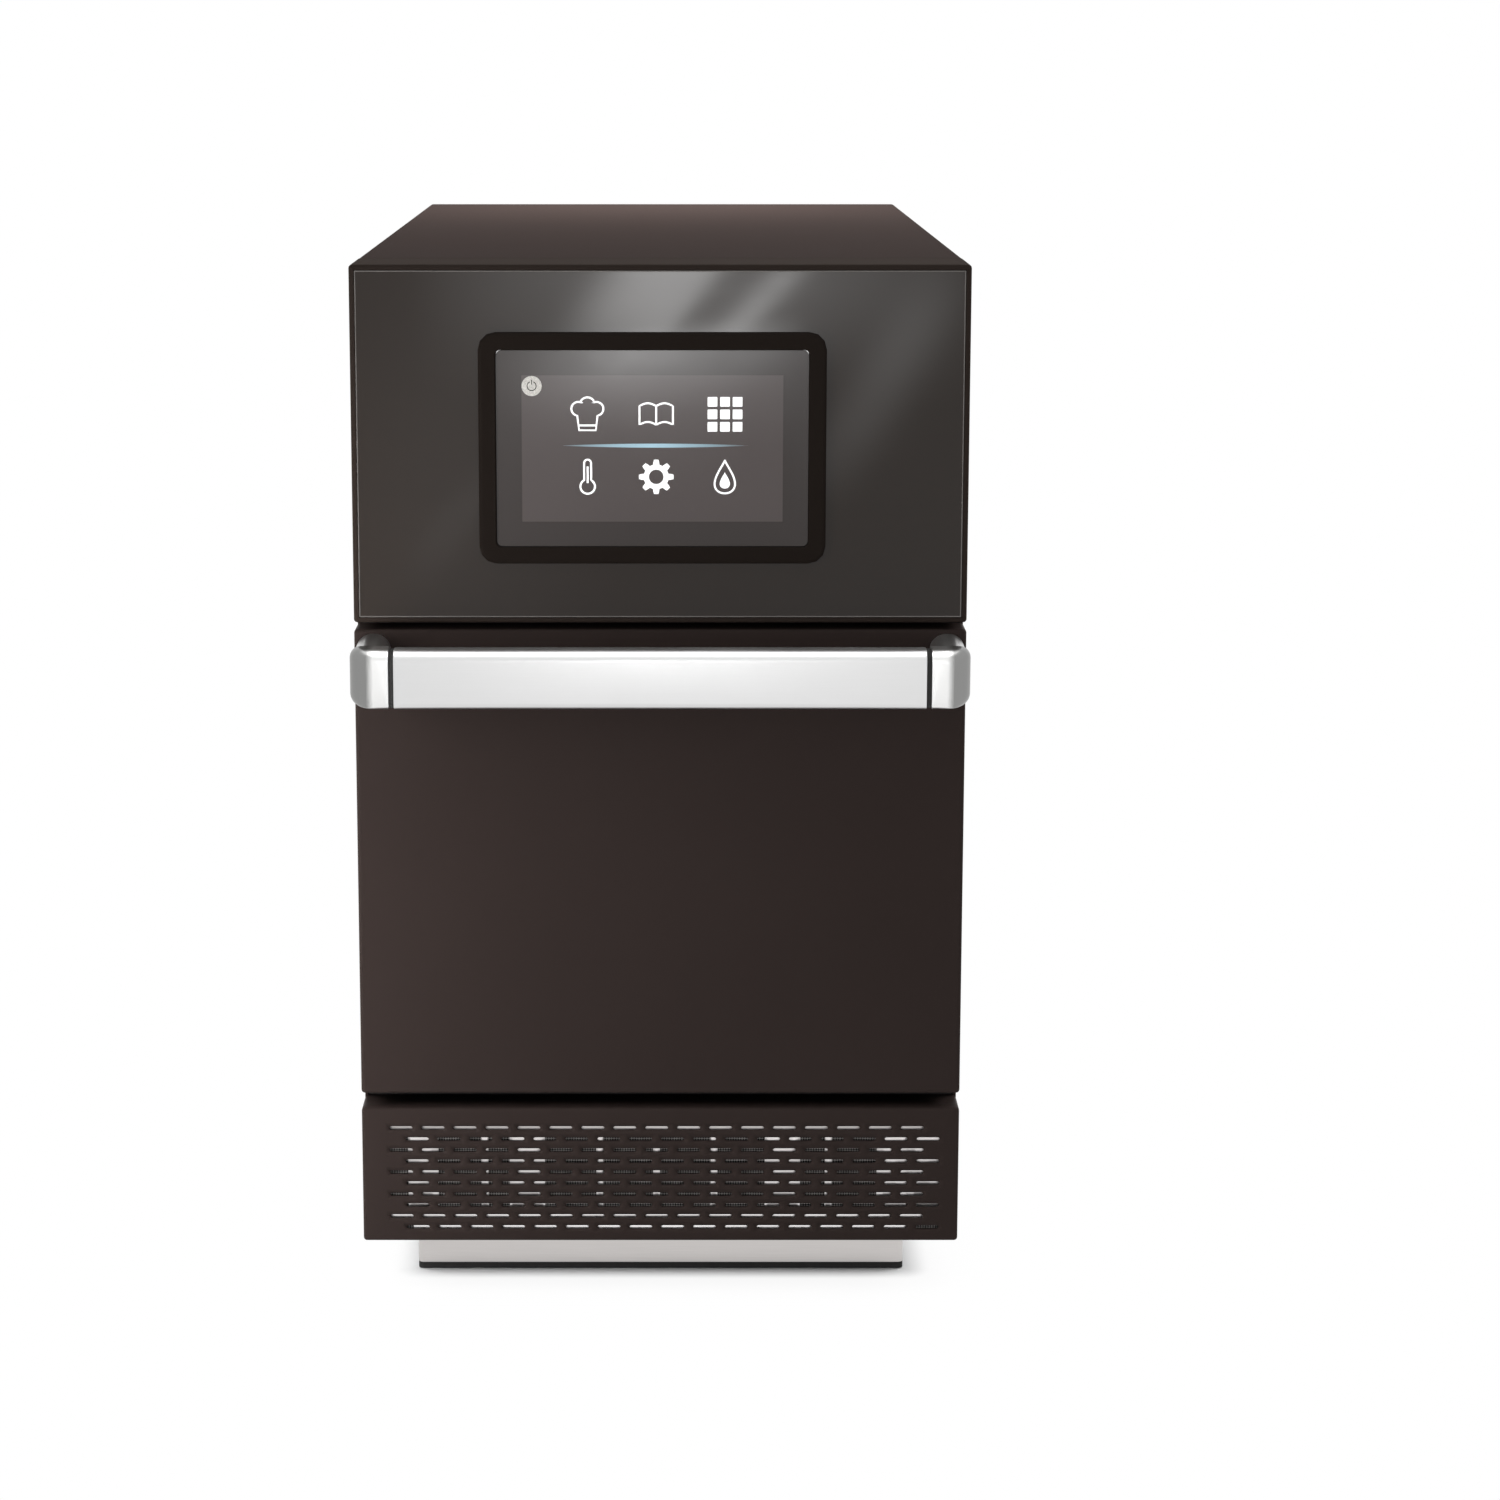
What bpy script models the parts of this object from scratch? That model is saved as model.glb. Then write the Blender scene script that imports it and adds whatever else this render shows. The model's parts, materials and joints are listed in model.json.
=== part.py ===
"""Countertop speed oven: a tall narrow casing, a drop-down door and a microwave and hot-air chamber.

Lengths are in metres. +X is the oven's right as seen from the front, -Y is its front and +Z is up.
The origin lies on the floor, in the middle of the whole object's plan.
"""

import math

import bmesh
import bpy
from mathutils import Vector

# Whole casing
case_width = 0.356
case_height = 0.620
case_depth = 0.658

# Fits, sheets and edges
clearance = 0.0003
running_gap = 0.001
seam = 0.0008
overrun = 0.003
sheet = 0.0015
heavy_sheet = 0.002
edge_radius = 0.002
bend_radius = 0.0025
small_radius = 0.0005

# Front stack, from the floor up
foot_thickness = 0.004
foot_depth = 0.022
plinth_height = 0.032
vent_cover_height = 0.083
door_lower_gap = 0.009
door_height = 0.2805
door_upper_gap = 0.004

# Depths behind the front plane
door_thickness = 0.022
seal_space = 0.003
fascia_depth = 0.055

# Plinth and base
plinth_side_inset = 0.029
plinth_setback = 0.049
plinth_radius = 0.003
base_flange_height = 0.016

# Top cover
top_lip = 0.014

# Vent cover
slot_width = 0.0138
slot_height = 0.0023
slot_pitch = 0.01905
slot_row_pitch = 0.00687
slot_side_margin = 0.012
slot_grid_offset = 0.0025
slot_top_margin = 0.0124
slot_bottom_margin = 0.008
filter_thickness = 0.003
boss_size = 0.008

# Rear panel
vent_slot_width = 0.078
vent_slot_height = 0.005
vent_slot_pitch = 0.013
vent_column_pitch = 0.098
upper_vent_rows = 7
upper_vent_columns = 3
upper_vent_margin = 0.060
lower_vent_rows = 5
lower_vent_columns = 2
lower_vent_level = 0.110
gland_reach = 0.016
gland_bore = 0.005
gland_thread_radius = 0.010
gland_nut_radius = 0.015
gland_nut_height = 0.006
gland_cap_radius = 0.0125
gland_tip_radius = 0.0085
gland_inside = 0.012
gland_side_inset = 0.060
gland_rise = 0.046

# Cooking chamber
cavity_side_space = 0.023
cavity_floor_rise = 0.044
cavity_roof_drop = 0.0515
cavity_depth = 0.312
cavity_radius = 0.012
cavity_flange = 0.013
intake_side_margin = 0.028
intake_rise = 0.012
intake_drop = 0.009
rail_width = 0.008
rail_height = 0.009
rail_setback = 0.020
rail_end_gap = 0.022
plate_side_gap = 0.007
plate_overhang = 0.003
plate_thickness = 0.003
plate_rim = 0.010
plate_radius = 0.010
ceramic_side_gap = 0.040
ceramic_end_gap = 0.041
ceramic_thickness = 0.004
ceramic_radius = 0.012
duct_side_gap = 0.009
duct_front_gap = 0.020
jet_plate_margin = 0.012
jet_plate_thickness = 0.0012
jet_radius = 0.0065
jet_count = 5
jet_edge = 0.028
duct_margin = 0.020
duct_height = 0.024
support_thickness = 0.003
support_width = 0.240
support_foot = 0.020
support_setback = 0.026
insulation_rise = 0.006
insulation_setback = 0.036
insulation_end_gap = 0.0137
top_wool_thickness = 0.020

# Hot-air circuit behind the chamber
back_opening_width = 0.200
back_opening_drop = 0.022
grille_margin = 0.008
grille_thickness = 0.0012
grille_slot_width = 0.084
grille_slot_height = 0.007
grille_slot_pitch = 0.0135
grille_column_pitch = 0.094
grille_columns = 2
catalyst_thickness = 0.008
catalyst_cell = 0.038
catalyst_cell_height = 0.031
catalyst_pitch = 0.045
catalyst_row_pitch = 0.040
housing_side_inset = 0.005
housing_end_inset = 0.0025
housing_depth = 0.066
housing_radius = 0.010
fan_tip_gap = 0.009
fan_depth = 0.034
fan_plate = 0.0025
fan_hub_radius = 0.016
fan_hub_length = 0.022
fan_setback = 0.016
fan_blades = 12
fan_blade_thickness = 0.002
fan_blade_length = 0.030
shaft_radius = 0.005
shaft_in_motor = 0.020
heater_wall_gap = 0.011
heater_tube_radius = 0.0034
heater_leg_spread = 0.012
heater_leg_out = 0.016
heater_steps = 26
motor_radius = 0.044
motor_length = 0.080
motor_flange_radius = 0.052
motor_flange_thickness = 0.004
motor_cap_radius = 0.030
motor_cap_length = 0.010

# Microwave feed under the chamber
well_depth = 0.022
well_flange = 0.012
well_radius = 0.010
well_offset = 0.010
stirrer_tip_gap = 0.025
stirrer_plate = 0.0015
stirrer_lift = 0.008
stirrer_vanes = 4
stirrer_vane_length = 0.034
stirrer_vane_height = 0.007
stirrer_vane_thickness = 0.0015
stirrer_hub_radius = 0.010
stirrer_shaft_radius = 0.003
stirrer_motor_radius = 0.025
stirrer_motor_height = 0.020
guide_width = 0.086
guide_height = 0.043
guide_side = 0.084
guide_front_setback = 0.110
guide_window = 0.050
magnetron_width = 0.078
magnetron_depth = 0.072
magnetron_height = 0.086
magnetron_gap = 0.0122
magnetron_setback = 0.052
magnetron_fins = 6
magnetron_fin_thickness = 0.002
magnetron_fin_reach = 0.006
magnetron_fin_pitch = 0.010
antenna_radius = 0.008
antenna_length = 0.024

# Cooling fan
cooling_frame_size = 0.092
cooling_frame_depth = 0.025
cooling_frame_radius = 0.004
cooling_bore_radius = 0.043
cooling_setback = 0.060
cooling_strut = 0.004
cooling_strut_depth = 0.004
cooling_boss_radius = 0.018
cooling_hub_radius = 0.017
cooling_blades = 7
cooling_blade_thickness = 0.002
cooling_blade_depth = 0.012
cooling_spindle_radius = 0.003

# Electronics
shelf_drop = 0.0005
shelf_setback = 0.012
shelf_length = 0.400
shelf_lip = 0.014
board_wall_gap = 0.0212
board_middle_gap = 0.005
board_length = 0.190
board_thickness = 0.002
board_lift = 0.008
board_post_radius = 0.004
board_margin = 0.010
board_setback = 0.050
relay_length = 0.030
relay_width = 0.016
relay_height = 0.018
relay_pitch = 0.026
relay_count = 4
inverter_wall_gap = 0.0362
inverter_middle_gap = 0.030
inverter_length = 0.160
inverter_height = 0.070
inverter_setback = 0.060
inverter_fin_pitch = 0.014
inverter_fin_height = 0.016
inverter_fin_thickness = 0.003

# Fascia and screen
fascia_wall = 0.0015
fascia_rim = 0.003
fascia_shelf = 0.006
glass_thickness = 0.004
glass_set = 0.0004
bezel_width = 0.200
bezel_height_share = 0.6458
bezel_radius = 0.010
bezel_proud = 0.0025
bezel_flange = 0.006
bezel_neck = 0.006
bezel_side_offset = 0.0045
bezel_level_share = 0.4916
window_margin = 0.010
window_radius = 0.003
screen_thickness = 0.003
screen_set = 0.0012
module_margin = 0.007
module_thickness = 0.012
control_board_side_inset = 0.008
control_board_end_inset = 0.005
control_chip = 0.024
control_chip_height = 0.003

# Door
plug_clearance = 0.005
plug_depth = 0.007
seal_width = 0.009
seal_inset = 0.002
pivot_depth = 0.009
pivot_rise = 0.006
arm_radius = 0.004
arm_thickness = 0.005
arm_side_inset = 0.018
arm_tab_height = 0.030
arm_tab_length = 0.045
pin_radius = 0.003
hinge_plate_thickness = 0.004
hinge_plate_height = 0.046
hinge_plate_rise = 0.0022
hook_side_inset = 0.030
hook_drop = 0.0165
hook_height = 0.009
hook_thickness = 0.004
hook_reach = 0.024
hook_notch = 0.003
hook_slot_gap = 0.004
switch_width = 0.010
switch_height = 0.016
switch_length = 0.028

# Handle
handle_reach = 0.044
handle_height = 0.034
handle_drop = 0.0045
handle_foot_rise = 0.003
handle_top_radius = 0.0065
handle_bottom_radius = 0.0035
handle_back_radius = 0.0015
bar_thickness = 0.014
end_side_gap = 0.0005
end_width = 0.0228
end_front_radius = 0.012
end_side_radius = 0.005
stem_inset = 0.0018
stem_top_radius = 0.009
spacer_thickness = 0.0022
spacer_inset = 0.0006
handle_screw_radius = 0.003
handle_screw_head_radius = 0.0055
handle_screw_head_height = 0.003
handle_screw_length = 0.014

# Counts
corner_steps = 3
bend_steps = 3
stem_steps = 5
round_sides = 24
small_sides = 12
screw_sides = 8

# Places that follow from the sizes
overall_depth = handle_reach + case_depth + gland_reach
front = handle_reach - overall_depth / 2
rear = front + case_depth
half_width = case_width / 2
inner_half = half_width - sheet - clearance
plinth_top = foot_thickness + plinth_height
vent_top = plinth_top + vent_cover_height
door_bottom = vent_top + door_lower_gap
door_top = door_bottom + door_height
fascia_bottom = door_top + door_upper_gap
fascia_height = case_height - fascia_bottom
plinth_half = half_width - plinth_side_inset
gland_side = half_width - gland_side_inset
gland_level = plinth_top + gland_rise
intake_half = half_width - intake_side_margin
intake_low = plinth_top + intake_rise
intake_high = vent_top - intake_drop
flange_front = front + door_thickness + seal_space
frame_front = flange_front + sheet + clearance
frame_back = frame_front + heavy_sheet
rear_inside = rear - sheet
cavity_half = half_width - cavity_side_space
cavity_floor = door_bottom + cavity_floor_rise
cavity_roof = door_top - cavity_roof_drop
cavity_height = cavity_roof - cavity_floor
plate_half = cavity_half - plate_side_gap
cavity_back = flange_front + cavity_depth
liner_bottom = cavity_floor - sheet
liner_roof = cavity_roof + sheet
liner_back = cavity_back + sheet
well_centre_depth = cavity_depth / 2 + well_offset
well_centre = flange_front + well_centre_depth
rail_length = cavity_depth - rail_setback - rail_end_gap
plate_depth = rail_length + plate_overhang * 2
ceramic_half_width = cavity_half - ceramic_side_gap
ceramic_half_depth = cavity_depth / 2 - ceramic_end_gap
well_half_width = ceramic_half_width - well_flange
well_half_depth = ceramic_half_depth - well_flange
stirrer_radius = min(well_half_width, well_half_depth) - stirrer_tip_gap
duct_half_width = cavity_half - duct_side_gap
duct_half_depth = well_centre_depth - duct_front_gap
chamber_level = cavity_floor + cavity_height / 2
housing_half_width = cavity_half - housing_side_inset
housing_half_height = cavity_height / 2 - housing_end_inset
back_opening_half_height = housing_half_height - back_opening_drop
heater_radius = housing_half_height - heater_wall_gap
fan_radius = heater_radius - fan_tip_gap
fan_front = liner_back + clearance + catalyst_thickness + fan_setback
housing_back = liner_back + clearance + housing_depth
motor_front = housing_back + clearance
pivot = (front + pivot_depth, door_bottom + pivot_rise)
ceramic_top = cavity_floor + clearance + ceramic_thickness
plate_rest = cavity_floor + clearance + rail_height + clearance
well_top = liner_bottom - clearance
well_bottom = well_top - well_depth
guide_top = well_bottom - clearance
guide_bottom = guide_top - guide_height
guide_front = flange_front + guide_front_setback
magnetron_centre = housing_back + magnetron_gap + magnetron_depth / 2
guide_back = magnetron_centre + magnetron_setback
glass_front = front + glass_set
glass_back = glass_front + glass_thickness
bezel_front = front - bezel_proud
bezel_back = glass_back + bezel_neck
screen_back = bezel_front + screen_set + screen_thickness
module_back = bezel_back + module_thickness
bezel_height = fascia_height * bezel_height_share
bezel_level = fascia_bottom + fascia_height * bezel_level_share
window_half_width = bezel_width / 2 - window_margin
window_half_height = bezel_height / 2 - window_margin
module_half_width = window_half_width - module_margin
module_half_height = window_half_height - module_margin
shelf_level = fascia_bottom - shelf_drop
arm_side = half_width - arm_side_inset
hook_side = half_width - hook_side_inset
hook_level = door_top - hook_drop
skin_back = front + door_thickness
handle_top = door_top - handle_drop
handle_bottom = handle_top - handle_height
end_outer = half_width - end_side_gap
end_inner = end_outer - end_width
bar_half = end_inner - clearance - spacer_thickness - clearance
handle_front = front - handle_reach
screw_side = (end_outer + end_inner) / 2
screw_level = (handle_bottom + handle_top) / 2


def linear(red, green, blue):
    """A colour of 0 to 255 display values as linear light."""
    full_share = 255
    return [((value / full_share + 0.055) / 1.055) ** 2.4 for value in (red, green, blue)]


def look(name, colour, roughness, metallic):
    """A plain surface of one colour."""
    material = bpy.data.materials.new(name)
    material.use_nodes = True
    shader = material.node_tree.nodes["Principled BSDF"]
    shader.inputs["Base Color"].default_value = (*linear(*colour), 1)
    shader.inputs["Roughness"].default_value = roughness
    shader.inputs["Metallic"].default_value = metallic
    return material


def rectangle(u0, u1, v0, v1):
    """Four corners, counter-clockwise."""
    return [(u0, v0), (u1, v0), (u1, v1), (u0, v1)]


def round_rectangle(u0, u1, v0, v1, radii, steps=corner_steps):
    """A rectangle whose corners are arcs: one radius for all, or one for each corner."""
    if not isinstance(radii, tuple):
        radii = (radii,) * 4
    corners = ((u0, v0, 1, 1), (u1, v0, -1, 1), (u1, v1, -1, -1), (u0, v1, 1, -1))
    points = []
    for quarter, ((u, v, to_u, to_v), radius) in enumerate(zip(corners, radii)):
        centre = (u + to_u * radius, v + to_v * radius)
        for step in range(steps + 1):
            angle = math.pi + (quarter + step / steps) * math.pi / 2
            points.append((centre[0] + radius * math.cos(angle), centre[1] + radius * math.sin(angle)))
    return points


def circle(u, v, radius, sides):
    """A round outline of flat sides."""
    angles = [2 * math.pi * i / sides for i in range(sides)]
    return [(u + radius * math.cos(angle), v + radius * math.sin(angle)) for angle in angles]


def on_plane(outline, axis, level):
    """Places a flat outline square to an axis: X holds (y, z), Y holds (x, z) and Z holds (x, y)."""
    if axis == "X":
        return [(level, u, v) for u, v in outline]
    if axis == "Y":
        return [(u, level, v) for u, v in outline]
    return [(u, v, level) for u, v in outline]


def loft(loops, ring=False):
    """One closed skin through loops of equal length, with filled ends unless it closes as a ring."""
    count = len(loops[0])
    vertices = [point for loop in loops for point in loop]
    faces = []
    for row in range(len(loops) if ring else len(loops) - 1):
        low = row * count
        high = (row + 1) % len(loops) * count
        for i in range(count):
            j = (i + 1) % count
            faces.append((low + i, low + j, high + j, high + i))
    if not ring:
        faces.append(tuple(range(count)))
        faces.append(tuple(range(len(vertices) - count, len(vertices))))
    return vertices, faces


def prism(outline, axis, low, high):
    """An outline carried straight along an axis."""
    return loft([on_plane(outline, axis, low), on_plane(outline, axis, high)])


def block(x0, x1, y0, y1, z0, z1):
    """A plain box."""
    return prism(rectangle(x0, x1, y0, y1), "Z", z0, z1)


def turned(profile, axis, u, v, sides, ring=False):
    """A profile of (radius, level) pairs turned about an axis through (u, v)."""
    return loft([on_plane(circle(u, v, radius, sides), axis, level) for radius, level in profile], ring)


def tube(points, radius, sides):
    """A round tube along a path, square to it at every point."""
    path = [Vector(point) for point in points]
    side = None
    loops = []
    for i, point in enumerate(path):
        along = (path[min(i + 1, len(path) - 1)] - path[max(i - 1, 0)]).normalized()
        side = along.orthogonal() if side is None else side - along * side.dot(along)
        side.normalize()
        other = along.cross(side)
        turn = circle(0, 0, radius, sides)
        loops.append([tuple(point + side * a + other * b) for a, b in turn])
    return loft(loops)


def rounded_edge(outline_at, level, direction, radius, steps=bend_steps):
    """Loops that round an edge over from a face: outline_at(inset) gives the outline drawn in."""
    loops = []
    for step in range(steps + 1):
        angle = step / steps * math.pi / 2
        inset = radius * (1 - math.sin(angle))
        loops.append((outline_at(inset), level + direction * radius * (1 - math.cos(angle))))
    return loops


def new_mesh(name, skins, place):
    """A mesh of closed skins, with its faces outwards and its coordinates counted from a place."""
    mesh = bpy.data.meshes.new(name)
    vertices = []
    faces = []
    for points, loops in skins:
        start = len(vertices)
        vertices.extend(tuple(Vector(point) - place) for point in points)
        faces.extend(tuple(start + index for index in loop) for loop in loops)
    mesh.from_pydata(vertices, [], faces)
    shape = bmesh.new()
    shape.from_mesh(mesh)
    bmesh.ops.recalc_face_normals(shape, faces=shape.faces)
    shape.to_mesh(mesh)
    shape.free()
    mesh.shade_smooth()
    mesh.set_sharp_from_angle(angle=math.radians(30))
    return mesh


def make(name, skins, material, carrier=None):
    """One sub-part, carried by an empty when it moves."""
    place = carrier.location if carrier else Vector((0, 0, 0))
    piece = bpy.data.objects.new(name, new_mesh(name, skins, place))
    piece.data.materials.append(material)
    piece.parent = carrier
    bpy.context.scene.collection.objects.link(piece)
    return piece


def tool(name, skins):
    """A shape that only cuts or joins, and isn't part of the oven."""
    shape = bpy.data.objects.new(name, new_mesh(name, skins, Vector((0, 0, 0))))
    shape.hide_render = True
    shape.display_type = "WIRE"
    bpy.context.scene.collection.objects.link(shape)
    return shape


def combine(piece, shape, operation):
    """Cuts a tool out of a piece, or joins it on."""
    modifier = piece.modifiers.new(shape.name, "BOOLEAN")
    modifier.object = shape
    modifier.operation = operation
    modifier.solver = "EXACT"


def cut(piece, name, skins):
    """Takes closed skins away from a piece."""
    combine(piece, tool(name, skins), "DIFFERENCE")


def fuse(piece, name, skins):
    """Adds closed skins to a piece that they overlap."""
    combine(piece, tool(name, skins), "UNION")


def axis_at(name, x, y, z):
    """An empty on a joint's axis, which carries what moves with it."""
    empty = bpy.data.objects.new(name, None)
    empty.location = (x, y, z)
    bpy.context.scene.collection.objects.link(empty)
    return empty


def spread(count, pitch):
    """Places of evenly pitched copies about zero."""
    return [(i - (count - 1) / 2) * pitch for i in range(count)]


def count_in(span, pitch):
    """How many evenly pitched copies fit in a span."""
    return int(span / pitch)


def slot_grid(columns, rows, width, height, y0, y1):
    """Rectangular openings through a wall that is square to Y, at every column and row."""
    half = width / 2
    return [block(x - half, x + half, y0, y1, z - height / 2, z + height / 2)
            for x in columns for z in rows]


def rounded_pan(x0, x1, z0, z1, wall, depth, material, name, carrier=None):
    """A pan with rounded front edges, open at the back."""
    def outer(inset):
        radius = max(edge_radius - inset, small_radius)
        return round_rectangle(x0 + inset, x1 - inset, z0 + inset, z1 - inset, radius)
    loops = [on_plane(outline, "Y", level) for outline, level in rounded_edge(outer, front, 1, edge_radius)]
    inner = outer(wall)
    loops.append(on_plane(outer(0), "Y", front + depth))
    loops.append(on_plane(inner, "Y", front + depth))
    loops.append(on_plane(inner, "Y", front + wall))
    return make(name, [loft(loops)], material, carrier)


def base(looks):
    """The rubber trim, the plinth that stands on it and the base pan."""
    plinth_front = front + plinth_setback
    plinth_back = rear - plinth_setback

    def ring(inset):
        radius = max(plinth_radius - inset, small_radius)
        return round_rectangle(inset - plinth_half, plinth_half - inset,
                               plinth_front + inset, plinth_back - inset, radius)
    top = foot_thickness - clearance
    loops = [on_plane(ring(0), "Z", 0), on_plane(ring(0), "Z", top),
             on_plane(ring(foot_depth), "Z", top), on_plane(ring(foot_depth), "Z", 0)]
    make("foot_trim", [loft(loops, ring=True)], looks["rubber"])
    top = plinth_top - clearance
    floor = foot_thickness + heavy_sheet
    loops = [on_plane(ring(0), "Z", foot_thickness), on_plane(ring(0), "Z", top),
             on_plane(ring(heavy_sheet), "Z", top), on_plane(ring(heavy_sheet), "Z", floor),
             on_plane(ring(foot_depth), "Z", floor), on_plane(ring(foot_depth), "Z", foot_thickness)]
    make("plinth", [loft(loops, ring=True)], looks["steel"])

    lip = plinth_top + base_flange_height
    low = plinth_top + heavy_sheet
    outline = [(-inner_half, plinth_top), (inner_half, plinth_top), (inner_half, lip),
               (inner_half - heavy_sheet, lip), (inner_half - heavy_sheet, low),
               (heavy_sheet - inner_half, low), (heavy_sheet - inner_half, lip), (-inner_half, lip)]
    pan = prism(outline, "Y", frame_back + clearance, rear_inside - clearance)
    make("base_pan", [pan], looks["galvanised"])


def casing(looks):
    """The side panels, the top cover with its folded edges, and the rear panel."""
    side_top = case_height - top_lip - seam
    step = front + fascia_depth + seam
    outline = [(flange_front, plinth_top), (rear, plinth_top), (rear, side_top), (step, side_top),
               (step, fascia_bottom - seam), (flange_front, fascia_bottom - seam)]
    for name, outer, inner in (("side_panel_left", -half_width, sheet - half_width),
                               ("side_panel_right", half_width - sheet, half_width)):
        make(name, [prism(outline, "X", outer, inner)], looks["casing"])

    def arc(centre_x, radius, start):
        centre_z = case_height - bend_radius
        angles = [start - i / bend_steps * math.pi / 2 for i in range(bend_steps + 1)]
        return [(centre_x + radius * math.cos(a), centre_z + radius * math.sin(a)) for a in angles]
    bend = half_width - bend_radius
    lip = case_height - top_lip
    outside = [(-half_width, lip), *arc(-bend, bend_radius, math.pi), *arc(bend, bend_radius, math.pi / 2),
               (half_width, lip)]
    inside = [(sheet - half_width, lip), *arc(-bend, bend_radius - sheet, math.pi),
              *arc(bend, bend_radius - sheet, math.pi / 2), (half_width - sheet, lip)]
    make("top_cover", [prism(outside + inside[::-1], "Y", step, rear)], looks["casing"])

    panel_top = case_height - sheet - clearance
    outline = round_rectangle(-inner_half, inner_half, plinth_top, panel_top,
                              (small_radius, small_radius, bend_radius, bend_radius))
    panel = make("rear_panel", [prism(outline, "Y", rear_inside, rear)], looks["casing"])
    cut_front = rear_inside - overrun
    cut_back = rear + overrun
    upper = [panel_top - upper_vent_margin - row * vent_slot_pitch for row in range(upper_vent_rows)]
    lower = [lower_vent_level + row * vent_slot_pitch for row in range(lower_vent_rows)]
    vents = slot_grid(spread(upper_vent_columns, vent_column_pitch), upper,
                      vent_slot_width, vent_slot_height, cut_front, cut_back)
    columns = [column + vent_slot_width / 2 for column in spread(lower_vent_columns, vent_column_pitch)]
    vents += slot_grid(columns, lower, vent_slot_width, vent_slot_height, cut_front, cut_back)
    cut(panel, "rear_vents", vents)

    gland_hole = circle(-gland_side, gland_level, gland_thread_radius + clearance, round_sides)
    cut(panel, "gland_hole", [prism(gland_hole, "Y", cut_front, cut_back)])
    seat = rear + clearance
    nut_back = seat + gland_nut_height
    tip = rear + gland_reach
    shoulder = nut_back + (tip - nut_back) / 2
    profile = [(gland_bore, rear_inside - gland_inside), (gland_thread_radius, rear_inside - gland_inside),
               (gland_thread_radius, seat), (gland_nut_radius, seat), (gland_nut_radius, nut_back),
               (gland_cap_radius, nut_back), (gland_cap_radius, shoulder), (gland_tip_radius, tip),
               (gland_bore, tip)]
    gland = turned(profile, "Y", -gland_side, gland_level, small_sides, ring=True)
    make("cable_gland", [gland], looks["rubber"])


def vent_cover(looks, carrier):
    """The slotted intake cover, whose corner bosses hold its magnets, and its mesh filter."""
    depth = flange_front - clearance - front
    cover = rounded_pan(-half_width, half_width, plinth_top, vent_top, sheet, depth,
                        looks["casing"], "vent_cover", carrier)
    height = vent_cover_height - slot_top_margin - slot_bottom_margin
    rows = [vent_top - slot_top_margin - row * slot_row_pitch
            for row in range(count_in(height, slot_row_pitch) + 1)]
    slot_columns = count_in(case_width - slot_side_margin * 2, slot_pitch)
    slots = []
    for index, row in enumerate(rows):
        shift = slot_grid_offset + (slot_pitch / 4 if index % 2 else -slot_pitch / 4)
        columns = [x + shift for x in spread(slot_columns, slot_pitch)]
        slots += slot_grid(columns, [row], slot_width, slot_height, front - overrun, front + sheet + overrun)
    cut(cover, "vent_slots", slots)

    inner = half_width - sheet - boss_size
    middle = (plinth_top + vent_top) / 2
    half = boss_size / 2
    near = half_width - sheet - clearance
    bosses = [block(x0, x1, front + small_radius, frame_front - clearance, middle - half, middle + half)
              for x0, x1 in ((-near, -inner), (inner, near))]
    fuse(cover, "magnet_bosses", bosses)
    back = front + sheet + clearance
    make("air_filter", [block(clearance - inner, inner - clearance, back, back + filter_thickness,
                              plinth_top + sheet + clearance, vent_top - sheet - clearance)],
         looks["steel"], carrier)


def front_frame(looks):
    """The steel front of the chassis, with the chamber's mouth, the intake and the hinge and hook slots."""
    outline = round_rectangle(-inner_half, inner_half, plinth_top, fascia_bottom - clearance, small_radius)
    frame = make("front_frame", [prism(outline, "Y", frame_front, frame_back)], looks["dark_steel"])
    y0 = frame_front - overrun
    y1 = frame_back + overrun
    side = cavity_half + sheet + clearance
    mouth = round_rectangle(-side, side, liner_bottom - clearance, liner_roof + clearance, cavity_radius)
    intake = round_rectangle(-intake_half, intake_half, intake_low, intake_high, edge_radius)
    holes = [prism(mouth, "Y", y0, y1), prism(intake, "Y", y0, y1)]
    arm_gap = arm_radius + clearance
    arm_half = arm_thickness / 2 + clearance
    hook_half = hook_thickness / 2 + running_gap
    hook_gap = hook_height / 2 + hook_slot_gap
    for direction in (-1, 1):
        arm = direction * arm_side
        hook = direction * hook_side
        holes.append(block(arm - arm_half, arm + arm_half, y0, y1, pivot[1] - arm_gap, pivot[1] + arm_gap))
        holes.append(block(hook - hook_half, hook + hook_half, y0, y1,
                           hook_level - hook_gap, hook_level + hook_gap))
    cut(frame, "frame_holes", holes)


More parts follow.
